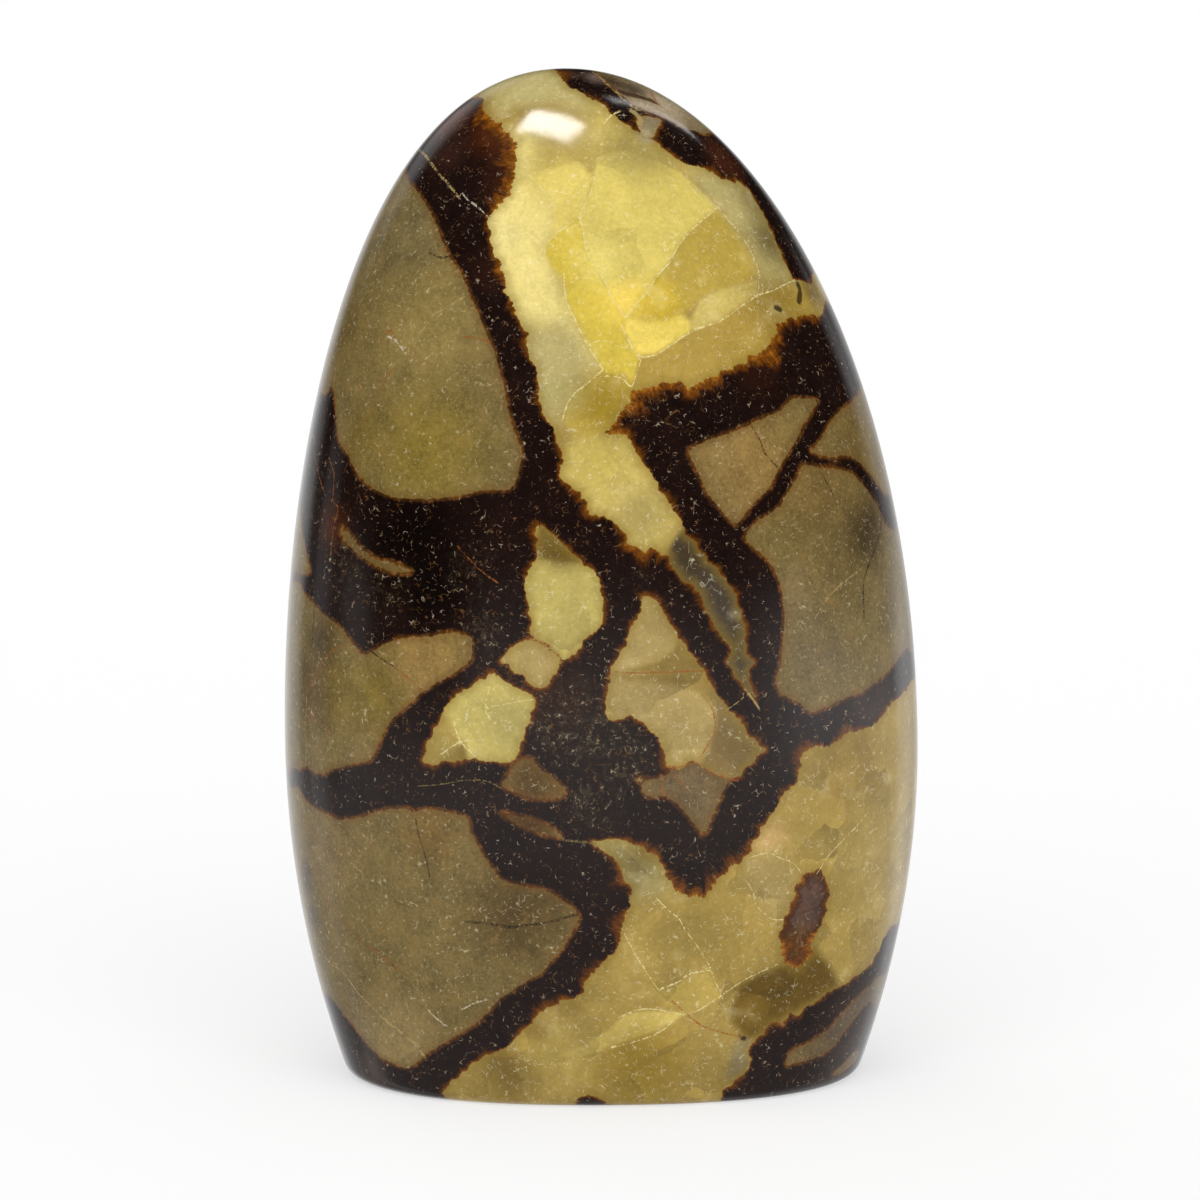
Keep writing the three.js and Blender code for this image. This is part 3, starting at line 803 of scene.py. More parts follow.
def placed(points):
    """Points of any of the four kinds, as places on the skin."""
    places = np.zeros((len(points), 3))
    pixels = [(i, p) for i, p in enumerate(points) if len(p) == 2]
    if pixels:
        places[[i for i, _ in pixels]] = seen_at([p for _, p in pixels])
    for i, p in enumerate(points):
        if p[0] == "base":
            places[i] = (p[1], p[2], 0.0)
        if p[0] in ("round", "back"):
            cx, cy, half_width, half_depth, power = (v[0] for v in section(np.array([float(p[2])])))
        if p[0] == "round":
            angle = math.radians(p[1])
            x, y = math.sin(angle), -math.cos(angle)
            size = (abs(x / half_width) ** power + abs(y / half_depth) ** power) ** (1 / power)
            places[i] = (x / size + cx - MIDDLE[0], y / size + cy - MIDDLE[1], p[2])
        if p[0] == "back":
            across = abs(p[1] + MIDDLE[0] - cx) / half_width
            places[i] = (p[1], (1 - across**power) ** (1 / power) * half_depth + cy - MIDDLE[1], p[2])
    return places


def wandering(places, random):
    """A closed outline whose long straight stretches bow and waver a little."""
    filled = []
    for a, b in zip(places, np.roll(places, -1, axis=0)):
        filled.append(a)
        gap = np.linalg.norm(b - a)
        pieces = int(gap / WAVER_STEP)
        sideways = np.cross(b - a, (a + b) / 2 - INNER)
        sideways /= np.linalg.norm(sideways)
        bow = random.uniform(-BOW, BOW) * gap
        for share in np.arange(1, pieces) / max(pieces, 1):
            aside = bow * math.sin(math.pi * share) + random.uniform(-WAVER, WAVER)
            filled.append(a + (b - a) * share + sideways * aside)
    return np.array(filled)


def smooth(places, closed, straight=False):
    """A smooth curve, or straight sides, through the places, as closely set points on the skin."""
    count = len(places)
    spans = range(count if closed else count - 1)
    curve = []
    for i in spans:
        if closed:
            a, b, c, d = (places[(i + k) % count] for k in (-1, 0, 1, 2))
        else:
            a, b, c, d = (places[min(max(i + k, 0), count - 1)] for k in (-1, 0, 1, 2))
        pieces = max(1, int(np.linalg.norm(c - b) / CURVE_STEP))
        t = (np.arange(pieces) / pieces)[:, None]
        if straight:
            a, d = 2 * b - c, 2 * c - b
        bend = (2 * a - 5 * b + 4 * c - d) * t**2
        twist = (3 * b - a - 3 * c + d) * t**3
        curve.append(0.5 * (2 * b + (c - a) * t + bend + twist))
    if not closed:
        curve.append(places[-1:])
    return onto_skin(np.concatenate(curve))


def chart(points):
    """The skin laid out flat from the top, with the middle of the base out of reach."""
    way = points - INNER
    way = way / np.linalg.norm(way, axis=1, keepdims=True)
    return way[:, :2] / np.maximum(1 + way[:, 2:], 1e-6)


def inside_outline(flat, outline):
    """Which chart points lie inside a closed outline: those with an odd count of sides beside them."""
    low, high = outline.min(0), outline.max(0)
    candidates = np.where(np.all((flat >= low) & (flat <= high), axis=1))[0]
    result = np.zeros(len(flat), bool)
    x, y = flat[candidates, 0], flat[candidates, 1]
    odd = np.zeros(len(candidates), bool)
    following = np.roll(outline, -1, axis=0)
    for (ax, ay), (bx, by) in zip(outline, following):
        if ay == by:
            continue
        crosses = (ay > y) != (by > y)
        odd ^= crosses & (x < (bx - ax) * (y - ay) / (by - ay) + ax)
    result[candidates] = odd
    return result


class Lines:
    """A set of curves on the skin that can be asked for the nearest one."""

    def __init__(self, curves, closed):
        starts, ends, runs, owners = [], [], [], []
        for number, curve in enumerate(curves):
            begin = curve if closed else curve[:-1]
            follow = np.roll(curve, -1, axis=0) if closed else curve[1:]
            length = np.linalg.norm(follow - begin, axis=1)
            starts.append(begin)
            ends.append(follow)
            runs.append(np.concatenate([[0], np.cumsum(length)[:-1]]))
            owners.append(np.full(len(begin), number))
        self.starts = np.concatenate(starts)
        self.ends = np.concatenate(ends)
        self.runs = np.concatenate(runs)
        self.owners = np.concatenate(owners)
        self.tree = KDTree(len(self.starts))
        for i, place in enumerate((self.starts + self.ends) / 2):
            self.tree.insert(place, i)
        self.tree.balance()

    def nearest(self, points):
        """Distance, signed sideways offset, run along the curve and number of the nearest curve."""
        index = np.array([self.tree.find(p)[1] for p in points])
        start, end = self.starts[index], self.ends[index]
        along = end - start
        length = np.linalg.norm(along, axis=1)
        share = np.clip(((points - start) * along).sum(1) / length**2, 0, 1)
        gap = points - (start + along * share[:, None])
        distance = np.linalg.norm(gap, axis=1)
        outward = points - INNER
        sideways = np.cross(along, outward)
        sideways /= np.linalg.norm(sideways, axis=1, keepdims=True)
        offset = ((points - start) * sideways).sum(1)
        return distance, offset, self.runs[index] + length * share, self.owners[index]


def ring_heights():
    """Heights of the rings of points, evenly spaced along the sides from the base to the top."""
    z = np.concatenate([
        BASE_EDGE_RADIUS * (1 - np.cos(np.linspace(0, math.pi / 2, EDGE_LEVELS))),
        np.linspace(BASE_EDGE_RADIUS, WIDEST_Z, FLANK_LEVELS)[1:],
        WIDEST_Z + (HEIGHT - WIDEST_Z) * np.sin(np.linspace(0, math.pi / 2, CROWN_LEVELS))[1:],
    ])
    _, _, half_width, half_depth, _ = section(z)
    side = (half_width + half_depth) / 2
    run = np.concatenate([[0], np.cumsum(np.hypot(np.diff(z), np.diff(side)))])
    rings = int(run[-1] / RING_STEP)
    return np.interp(np.arange(rings) / rings * run[-1], run, z)


def skin_mesh():
    """Rings up the sides, a fan over the top, and shrinking rings across the flat base."""
    back = np.linspace(0, math.pi, BACK_COLUMNS, endpoint=False)
    front = np.linspace(math.pi, 2 * math.pi, FRONT_COLUMNS, endpoint=False)
    turn = np.concatenate([back, front])
    c, s = np.cos(turn), np.sin(turn)
    columns = len(turn)
    rings = []
    for z in ring_heights():
        cx, cy, half_width, half_depth, power = section(np.array([z]))
        x = cx + half_width * np.sign(c) * np.abs(c) ** (2 / power)
        y = cy + half_depth * np.sign(s) * np.abs(s) ** (2 / power)
        rings.append(np.stack([x, y, np.full(columns, z)], 1) - MIDDLE)
    rim = rings[0]
    core = rim.mean(0)
    inner = [core + (rim - core) * (1 - k / BASE_RINGS) for k in range(BASE_RINGS - 1, 0, -1)]
    points = np.concatenate([*inner, *rings, [core], [[-CROWN_LEAN, BACK_LEAN, HEIGHT] - MIDDLE]])
    levels = len(inner) + len(rings)

    faces = []
    for level in range(levels - 1):
        low = level * columns
        for i in range(columns):
            j = (i + 1) % columns
            a, b = low + i, low + j
            d, e = a + columns, b + columns
            faces.append((a, b, e))
            faces.append((a, e, d))
    core_index = levels * columns
    last = (levels - 1) * columns
    for i in range(columns):
        j = (i + 1) % columns
        faces.append((core_index, j, i))
        faces.append((last + i, last + j, core_index + 1))
    return points, faces


def refined(points, faces, lines):
    """The mesh with its faces along the given lines cut in four, and its points in millimetres."""
    mesh = bpy.data.meshes.new("skin")
    mesh.from_pydata(points, [], faces)
    distance = lines.nearest(points)[0]
    work = bmesh.new()
    work.from_mesh(mesh)
    work.verts.ensure_lookup_table()
    near = distance < FINE_BAND
    old = len(work.verts)
    chosen = [e for e in work.edges if near[e.verts[0].index] or near[e.verts[1].index]]
    bmesh.ops.subdivide_edges(work, edges=chosen, cuts=1, use_grid_fill=True)
    bmesh.ops.triangulate(work, faces=work.faces[:])
    work.verts.index_update()
    work.to_mesh(mesh)
    work.free()
    moved = np.zeros(len(mesh.vertices) * 3)
    mesh.vertices.foreach_get("co", moved)
    moved = moved.reshape(-1, 3)
    fresh = np.arange(old, len(moved))
    fresh = fresh[moved[fresh, 2] > BASE_BAND]
    moved[fresh] = onto_skin(moved[fresh])
    mesh.vertices.foreach_set("co", (moved * MM).ravel())
    return mesh, moved


def linear(code):
    """A colour written as RRGGBB, as the shader's linear red, green and blue."""
    parts = np.array([int(code[i:i + 2], 16) / 255 for i in (0, 2, 4)])
    return np.where(parts <= 0.04045, parts / 12.92, ((parts + 0.055) / 1.055) ** 2.4)


def rgba(code):
    return (*linear(code), 1.0)


def pigment(code):
    """The pigment that looks like this colour in the studio light, under a thin veil of gloss."""
    return np.maximum((linear(code) - GLOSS_VEIL) / LIGHT_LEVEL, linear(code) / 2)


def store(mesh, name, values):
    """Keeps a number or a colour for each point of the mesh, for the material to read."""
    kind = "FLOAT" if values.ndim == 1 else "FLOAT_COLOR"
    layer = mesh.attributes.new(name, kind, "POINT")
    if values.ndim == 1:
        layer.data.foreach_set("value", values.astype(np.float32))
    else:
        full = np.concatenate([values, np.ones((len(values), 1))], 1)
        layer.data.foreach_set("color", full.astype(np.float32).ravel())


def spot(points, place, pixels):
    """1 at a place, fading smoothly to 0 at the given reach."""
    centre = placed([tuple(place)])[0]
    size = pixels * VIEW_WIDTH / FRAME_PIXELS
    away = np.linalg.norm(points - centre, axis=1) / size
    return np.clip(1 - away**2, 0, 1) ** 2


def signed_distance(points, flat, curves, holes=()):
    """Distance to the nearest outline, above 0 inside a cell, and the run along that outline."""
    distance, _, run, _ = Lines([*curves, *holes], closed=True).nearest(points)
    inside = np.zeros(len(points), bool)
    for curve in curves:
        inside |= inside_outline(flat, chart(curve))
    for hole in holes:
        inside &= ~inside_outline(flat, chart(hole))
    return np.where(inside, distance, -distance), run


def cover(points, flat, curve, softness):
    """1 inside an outline, 0 outside, with a smooth change of the given half width across it."""
    near = np.all((points > curve.min(0) - softness) & (points < curve.max(0) + softness), axis=1)
    near = np.where(near)[0]
    distance = Lines([curve], closed=True).nearest(points[near])[0]
    inside = inside_outline(flat[near], chart(curve))
    level = np.clip(np.where(inside, distance, -distance) / softness / 2 + 0.5, 0, 1)
    share = np.zeros(len(points))
    share[near] = level * level * (3 - 2 * level)
    return share


def washed(points, tones, washes):
    """The tones with the washes laid over them, one after another."""
    for *place, pixels, code, strength in washes:
        share = strength * spot(points, place, pixels * FADE)
        tones = tones + (pigment(code) - tones) * share[:, None]
    return tones


def build_skin():
    random = np.random.default_rng(SEED)
    calcite = [smooth(wandering(placed(cell), random), True) for cell in CALCITE_CELLS]
    mudstone = [smooth(wandering(placed(cell), random), True) for cell in MUDSTONE_CELLS]
    islands = [smooth(placed(cell), True) for cell in DARK_ISLANDS]
    crystals = [smooth(placed(outline), True, straight=True) for _, _, outline in CRYSTALS]
    threads = [smooth(placed(line), False) for _, _, line in THREADS]

    fine = Lines([*threads, *(np.concatenate([c, c[:1]]) for c in crystals)], closed=False)
    mesh, points = refined(*skin_mesh(), fine)
    flat = chart(points)

    calcite_depth, run = signed_distance(points, flat, calcite, islands)
    mudstone_depth, _ = signed_distance(points, flat, mudstone)
    store(mesh, "calcite", np.clip(calcite_depth, -OUTLINE_RANGE, OUTLINE_RANGE))
    store(mesh, "mudstone", np.clip(mudstone_depth, -OUTLINE_RANGE, OUTLINE_RANGE))
    store(mesh, "run", run)

    fringe = np.full(len(points), FRINGE)
    for *place, pixels, width in WIDE_FRINGES:
        fringe = np.maximum(fringe, FRINGE + (width - FRINGE) * spot(points, place, pixels * FADE))
    store(mesh, "fringe", fringe)

    crackle = np.full(len(points), CRACKLE)
    for *place, pixels, strength in CRACKLES:
        crackle = np.maximum(crackle, strength * spot(points, place, pixels * CRACKLE_FADE))
    store(mesh, "crackle", crackle)

    calcite_tone = np.tile(pigment(CALCITE_TONE), (len(points), 1))
    for (tone, softness, _), curve in zip(CRYSTALS, crystals):
        share = cover(points, flat, curve, softness)
        calcite_tone += (pigment(TONES[tone]) - calcite_tone) * share[:, None]
    store(mesh, "calcite_tone", washed(points, calcite_tone, CALCITE_WASHES))

    mudstone_tone = np.tile(pigment(MUDSTONE_TONE), (len(points), 1))
    store(mesh, "mudstone_tone", washed(points, mudstone_tone, MUDSTONE_WASHES))
    # The seam's tone with its washes, a few of which are painted sheen
    seam_tone = np.tile(linear(SEAM_TONE), (len(points), 1))
    store(mesh, "seam_tone", washed(points, seam_tone, SEAM_WASHES_AND_SHEEN))

    distance, offset, _, owner = Lines(threads, closed=False).nearest(points)
    widths = np.array([width for _, width, _ in THREADS])
    colours = np.array([linear(THREAD_COLOURS[kind]) for kind, _, _ in THREADS])
    store(mesh, "thread_offset", np.clip(offset, -THREAD_RANGE, THREAD_RANGE))
    store(mesh, "thread_distance", np.clip(distance, 0, THREAD_RANGE))
    store(mesh, "thread_width", widths[owner])
    store(mesh, "thread_colour", colours[owner])

    mesh.polygons.foreach_set("use_smooth", np.ones(len(mesh.polygons), bool))
    mesh.update()
    return mesh


# ---------------------------------------------------------------- materials


class Graph:
    """Shorthand for wiring shader nodes."""

    def __init__(self, owner):
        owner.use_nodes = True
        self.tree = owner.node_tree
        self.tree.nodes.clear()

    def node(self, kind, inputs=(), **settings):
        made = self.tree.nodes.new(kind)
        for name, value in settings.items():
            setattr(made, name, value)
        for socket, value in dict(inputs).items():
            if isinstance(value, bpy.types.NodeSocket):
                self.tree.links.new(value, made.inputs[socket])
            else:
                made.inputs[socket].default_value = value
        return made

    def sum(self, operation, a, b=0.0, c=0.0, clamp=False):
        made = self.node("ShaderNodeMath", {0: a, 1: b, 2: c}, operation=operation, use_clamp=clamp)
        return made.outputs[0]

    def add(self, a, b):
        return self.sum("ADD", a, b)

    def times(self, value, *factors):
        for factor in factors:
            value = self.sum("MULTIPLY", value, factor)
        return value

    def line(self, value, slope, plus):
        return self.sum("MULTIPLY_ADD", value, slope, plus)

    def most(self, a, b):
        return self.sum("MAXIMUM", a, b)

    def centred(self, noise):
        return self.add(noise, -0.5)

    def step(self, value, low, high):
        """0 below low, 1 above high, smooth between; low above high turns it round."""
        made = self.node(
            "ShaderNodeMapRange",
            {"Value": value, "From Min": low, "From Max": high},
            interpolation_type="SMOOTHSTEP",
        )
        return made.outputs["Result"]

    def window(self, value, start, full, fade, end):
        """1 from full to fade, 0 before start and after end."""
        return self.times(self.step(value, start, full), self.step(value, end, fade))

    def contour(self, noise, outer, inner):
        """1 on the thin lines where a noise crosses its middle."""
        return self.step(self.sum("ABSOLUTE", self.centred(noise)), outer, inner)

    def blend(self, share, a, b):
        """a where the share is 0, b where it is 1; b can be a colour written as RRGGBB."""
        if isinstance(b, str):
            b = rgba(b)
        return self.node("ShaderNodeMix", {0: share, 6: a, 7: b}, data_type="RGBA").outputs[2]

    def field(self, name, output="Fac"):
        """What build_skin stored for each point under this name; colours need the output Color."""
        return self.node("ShaderNodeAttribute", attribute_name=name).outputs[output]

    def noise(self, place, scale, detail=2.0, rough=0.5, warp=0.0, dimensions="3D"):
        made = self.node(
            "ShaderNodeTexNoise",
            {"Vector": place, "Scale": scale, "Detail": detail, "Roughness": rough, "Distortion": warp},
            noise_dimensions=dimensions,
        )
        return made.outputs["Fac"]

    def flat_noise(self, place, scale, detail, rough):
        return self.noise(place, scale, detail, rough, dimensions="2D")

    def plane(self, x, y):
        return self.node("ShaderNodeCombineXYZ", {0: x, 1: y}).outputs[0]

    def vector(self, operation, a, b, output="Vector"):
        return self.node("ShaderNodeVectorMath", {0: a, 1: b}, operation=operation).outputs[output]

    def scaled(self, vector, factor):
        made = self.node("ShaderNodeVectorMath", {0: vector, "Scale": factor}, operation="SCALE")
        return made.outputs["Vector"]

    def shifted(self, place, x, y, z):
        return self.vector("ADD", place, (x, y, z))

    def shaded(self, colour, texture, middle, contrast):
        """A colour made lighter where the texture is above its middle, and darker below."""
        return self.scaled(colour, self.line(self.add(texture, -middle), contrast, 1.0))

    def warped(self, place, scale, amount):
        """The place pushed about by noise, so that straight joints run a little jagged."""
        push = self.node("ShaderNodeTexNoise", {"Vector": place, "Scale": scale, "Detail": 3.0})
        push = self.shifted(push.outputs["Color"], -0.5, -0.5, -0.5)
        return self.vector("ADD", place, self.scaled(push, amount * 2))

    def strokes(self, place, scale, width, cut, share):
        """Short strokes at all angles: the thin lines of one noise, cut to pieces by another."""
        line = self.contour(self.noise(place, scale, 0.0), width, width * 0.4)
        piece = self.noise(self.shifted(place, 50.0, 20.0, 10.0), cut, 0.0)
        return self.times(line, self.step(piece, share, self.add(share, 0.05)))


# Colours of the marks and edges that noise draws over the rocks, as pigments
SEAM_DUST = "463c2a"
SEAM_HAIR = "6e4c28"
SEAM_RAY = "96784c"
CRACK_DARK = "5c3c1e"
CRACK_PALE = "b3a48c"
AMBER_EDGE = "885212"
AMBER_BROWN = "65380b"
AMBER_DEEP = "361b0a"
RUST_DARK = "573410"
RUST_PALE = "7d4f22"
MUD_STAIN = "7a5c30"
MUD_HAIR = "a4946a"
MUD_MARK_DARK = "8f7442"
MUD_MARK_PALE = "c8bd9f"
# Dark spots of tiny pits: painted shade, as the pits are not cut into the skin
MUD_PIT_SHADE = "2a2014"
MUD_SHORE = "604018"
CALCITE_VEIL = "e0d6a4"
CALCITE_HAIR = "e8e0b0"
CALCITE_MARK = "f0ead0"
CALCITE_SHORE = "7c6626"

WHITE = (1.0, 1.0, 1.0, 1.0)
FLOOR_COLOUR = (0.41, 0.41, 0.412, 1.0)
FLOOR_GLOW = 0.57
# The studio, in metres
ROOM = 6.0  # from the stone to each wall
ROOM_HEIGHT = 3.0
SOFTBOX_DISTANCE = 1.2


class StoneGraph(Graph):
    """The stone's material: what its three rocks share, and a function for the colour of each."""

    def __init__(self, material):
        super().__init__(material)
        self.place = self.scaled(self.node("ShaderNodeTexCoord").outputs["Object"], 1 / MM)
        self.mottle = self.noise(self.place, 0.33, 3.0, 0.6)
        self.grain = self.noise(self.place, 2.2, 2.0, 0.6)
        self.dust = self.noise(self.place, 4.0, 1.0, 0.6)
        self.patches = self.noise(self.shifted(self.place, 31.0, 7.0, 3.0), 0.7, 1.0)
        self.lumps = self.noise(self.place, 1.1, 3.0, 0.65)
        self.crackle = self.field("crackle")
        self.busy = self.step(self.crackle, 0.3, 1.0)
        self.calcite = self.field("calcite")
        self.fringe = self.field("fringe")
        self.wide = self.step(self.fringe, 1.2, 2.8)
        self.along = self.plane(self.field("run"), self.times(self.calcite, 0.4))
        self.bays = self.flat_noise(self.along, 0.28, 1.0, 0.5)
        self.calcite_edge = self.ragged_edge()
        nibble = self.times(self.centred(self.lumps), self.add(self.crackle, 0.3))
        self.mudstone_edge = self.add(nibble, self.field("mudstone"))
        self.marks = self.scattered_marks()
        hair = self.contour(self.noise(self.place, 0.5, 2.0, 0.5, 0.3), 0.009, 0.003)
        self.hair = self.times(hair, self.step(self.patches, 0.58, 0.64))

    def ragged_edge(self):
        """The distance into the calcite, with lobes and comb-like teeth that follow the outline."""
        comb = self.flat_noise(self.along, 2.0, 2.0, 0.6)
        lobes = self.flat_noise(self.along, 0.5, 1.0, 0.4)
        teeth = self.times(self.centred(comb), self.line(self.wide, 0.4, 0.45))
        scallops = self.line(self.sum("ABSOLUTE", self.centred(lobes)), -1.8, 0.25)
        ragged = self.add(self.add(teeth, scallops), self.times(self.centred(self.bays), 0.8))
        ragged = self.times(ragged, self.line(self.step(self.fringe, FRINGE, 1.5), 0.25, 0.75))
        return self.add(self.calcite, ragged)

    def scattered_marks(self):
        """Dots and short strokes over all three rocks, thicker where the seam is crackled."""
        share = self.line(self.busy, -0.07, 0.61)
        dots = self.step(self.dust, self.line(self.busy, -0.03, 0.72), 0.82)
        coarse = self.strokes(self.place, 1.0, 0.03, 1.2, share)
        fine = self.strokes(self.shifted(self.place, 9.0, 3.0, 40.0), 1.6, 0.038, 1.5, share)
        return self.most(dots, self.times(self.most(coarse, fine), self.step(self.grain, 0.3, 0.6)))

    def seam_colour(self):
        """Dark brown with pale healed cracks, an amber fringe at calcite and rust at mudstone."""
        tone = self.add(self.times(self.mottle, 1.4), self.times(self.grain, 1.0))
        seam = self.shaded(self.field("seam_tone", "Color"), tone, 1.2, 0.9)
        dusty = self.times(self.busy, self.times(self.step(self.lumps, 0.45, 0.7), 0.6))
        seam = self.blend(dusty, seam, SEAM_DUST)
        seam = self.blend(self.times(self.hair, 0.5), seam, SEAM_HAIR)
        net = self.noise(self.shifted(self.place, 11.0, 70.0, 29.0), 0.8, 3.0, 0.6)
        net = self.times(self.contour(net, 0.014, 0.004), self.step(self.dust, 0.45, 0.6))
        marked = self.sum("MULTIPLY_ADD", self.times(net, self.busy), 0.6, self.marks, clamp=True)
        bright = self.blend(self.step(self.lumps, 0.46, 0.68), rgba(CRACK_DARK), CRACK_PALE)
        seam = self.blend(self.times(marked, 0.62), seam, bright)
        seam = self.fringed(seam)
        rusty = self.line(self.step(self.mottle, 0.35, 0.6), 0.65, 0.3)
        rust = self.blend(self.step(self.grain, 0.45, 0.7), rgba(RUST_DARK), RUST_PALE)
        return self.blend(self.times(self.step(self.mudstone_edge, -0.6, 0.0), rusty), seam, rust)

    def fringed(self, seam):
        """The seam with its translucent fringe beside the calcite, and fine rays across that."""
        streak = self.flat_noise(self.along, 2.8, 2.0, 0.7)
        lengthy = self.most(self.line(self.bays, 2.6, -0.5), self.times(self.wide, 0.75))
        width = self.times(self.fringe, self.add(streak, 0.5), lengthy)
        depth = self.sum("DIVIDE", self.times(self.calcite_edge, -1.0), self.most(width, 0.2))
        depth = self.line(self.centred(self.lumps), self.line(self.wide, 1.0, 0.3), depth)
        ramp = self.node("ShaderNodeValToRGB", {"Fac": depth})
        stops = ramp.color_ramp.elements
        stops[0].position = 0.0
        stops[0].color = rgba(AMBER_EDGE)
        stops[1].position = 0.2
        stops[1].color = rgba(AMBER_BROWN)
        stops.new(0.7).color = rgba(AMBER_DEEP)
        amber = self.shaded(ramp.outputs["Color"], self.wide, 1.0, 0.3)
        amber = self.shaded(amber, streak, 0.5, 1.4)
        seam = self.blend(self.times(self.step(depth, 1.1, 0.35), 0.95), seam, amber)
        across = self.plane(self.field("run"), self.times(self.calcite, 0.12))
        rays = self.contour(self.flat_noise(across, 0.9, 1.0, 0.5), 0.008, 0.002)
        rays = self.times(rays, self.step(depth, 1.5, 0.8))
        share = self.times(rays, self.times(self.step(self.patches, 0.5, 0.65), 0.5))
        return self.blend(share, seam, SEAM_RAY)

    def mudstone_colour(self):
        """Sandy grit with stains, hairs, marks, pits darkened with painted shade, and a brown edge."""
        fines = self.add(self.times(self.grain, 0.9), self.times(self.dust, 0.6))
        sand = self.add(self.times(self.mottle, 1.1), fines)
        mudstone = self.shaded(self.field("mudstone_tone", "Color"), sand, 1.3, 0.9)
        stain = self.times(self.step(self.lumps, 0.52, 0.75), self.step(self.mottle, 0.45, 0.6))
        mudstone = self.blend(stain, mudstone, MUD_STAIN)
        mudstone = self.blend(self.times(self.hair, 0.4), mudstone, MUD_HAIR)
        bright = self.blend(self.step(self.grain, 0.4, 0.6), rgba(MUD_MARK_DARK), MUD_MARK_PALE)
        mudstone = self.blend(self.times(self.marks, 0.4), mudstone, bright)
        # Tiny pits as dark spots: painted shade
        mudstone = self.blend(self.times(self.step(self.lumps, 0.20, 0.16), 0.6), mudstone, MUD_PIT_SHADE)
        shore = self.times(self.step(self.mudstone_edge, 1.1, 0.0), 0.4)
        return self.blend(shore, mudstone, MUD_SHORE)

    def calcite_colour(self):
        """Crystals each of its own lean and tone, stronger low down, under veils, hairs and marks."""
        bent = self.warped(self.place, 0.5, 0.6)
        crystal = self.node("ShaderNodeTexVoronoi", {"Vector": bent, "Scale": 0.17})
        side = self.shifted(crystal.outputs["Color"], -0.5, -0.5, -0.5)
        away = self.vector("SUBTRACT", bent, crystal.outputs["Position"])
        lean = self.vector("DOT_PRODUCT", away, side, "Value")
        patch = self.node("ShaderNodeSeparateColor", {0: crystal.outputs["Color"]}).outputs[0]
        facets = self.add(self.times(self.centred(patch), 0.2), self.times(lean, 0.06))
        height = self.node("ShaderNodeSeparateXYZ", {0: self.place}).outputs[2]
        lower = self.step(height, 75.0, 60.0)
        cloud = self.noise(self.place, 0.2, 4.0, 0.6)
        depths = self.line(self.centred(cloud), self.line(lower, 0.3, 0.35), 0.3)
        depths = self.add(depths, self.add(self.times(self.lumps, 0.3), self.times(self.grain, 0.25)))
        depths = self.add(depths, self.times(facets, self.line(lower, 0.7, 0.4)))
        calcite = self.shaded(self.field("calcite_tone", "Color"), depths, 0.585, 0.95)
        calcite = self.blend(self.times(self.step(cloud, 0.55, 0.8), 0.25), calcite, CALCITE_VEIL)
        calcite = self.blend(self.times(self.hair, 0.3), calcite, CALCITE_HAIR)
        calcite = self.blend(self.times(self.marks, 0.24), calcite, CALCITE_MARK)
        shore = self.times(self.step(self.calcite_edge, 1.4, 0.0), 0.46)
        return self.blend(shore, calcite, CALCITE_SHORE)

    def on_thread(self):
        """1 on the hairlines and on the painted pit shade; the thin ones are dotted and dashed."""
        jitter = self.times(self.centred(self.grain), 0.25)
        offset = self.sum("ABSOLUTE", self.add(self.field("thread_offset"), jitter))
        width = self.times(self.field("thread_width"), self.line(self.lumps, 2.4, 0.1))
        hit = self.step(self.sum("DIVIDE", offset, width), 1.3, 0.7)
        beside = self.step(self.field("thread_distance"), 0.6, 0.35)
        solid = self.step(self.field("thread_width"), 0.12, 0.15)
        dashes = self.times(self.step(self.dust, 0.32, 0.5), self.step(self.grain, 0.33, 0.55))
        return self.times(hit, beside, self.most(dashes, solid))


def stone_material():
    material = bpy.data.materials.new("polished_septarian")
    g = StoneGraph(material)
    in_mudstone = g.step(g.mudstone_edge, -0.05, 0.05)
    in_calcite = g.step(g.calcite_edge, -0.06, 0.04)
    colour = g.blend(in_mudstone, g.seam_colour(), g.mudstone_colour())
    colour = g.blend(in_calcite, colour, g.calcite_colour())
    colour = g.blend(g.times(g.on_thread(), 0.85), colour, g.field("thread_colour", "Color"))
    gloss = g.line(in_mudstone, 0.04, g.times(g.grain, 0.08))
    bump = g.node("ShaderNodeBump", {"Strength": 0.05, "Distance": 0.00005, "Height": g.grain})
    shader = g.node(
        "ShaderNodeBsdfPrincipled",
        {
            "Base Color": colour,
            "Roughness": g.add(gloss, 0.09),
            "IOR": 1.54,
            "Specular IOR Level": 0.2,
            "Normal": bump.outputs["Normal"],
        },
    )
    g.node("ShaderNodeOutputMaterial", {"Surface": shader.outputs["BSDF"]})
    return material


def floor_material():
    material = bpy.data.materials.new("floor")
    g = Graph(material)
    lit = g.node("ShaderNodeBsdfDiffuse", {"Color": FLOOR_COLOUR})
    glow = g.node("ShaderNodeEmission", {"Color": WHITE, "Strength": FLOOR_GLOW})
    both = g.node("ShaderNodeAddShader", {0: lit.outputs[0], 1: glow.outputs[0]})
    g.node("ShaderNodeOutputMaterial", {"Surface": both.outputs[0]})
    return material


def wall_material():
    material = bpy.data.materials.new("walls")
    g = Graph(material)
    glow = g.node("ShaderNodeEmission", {"Color": WHITE, "Strength": 1.0})
    g.node("ShaderNodeOutputMaterial", {"Surface": glow.outputs[0]})
    return material


# ---------------------------------------------------------------- the scene


def add_stone():
    stone = bpy.data.objects.new("stone", build_skin())
    bpy.context.scene.collection.objects.link(stone)
    stone.data.materials.append(stone_material())
    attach(stone, "root")
    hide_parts("nodule")
    return stone


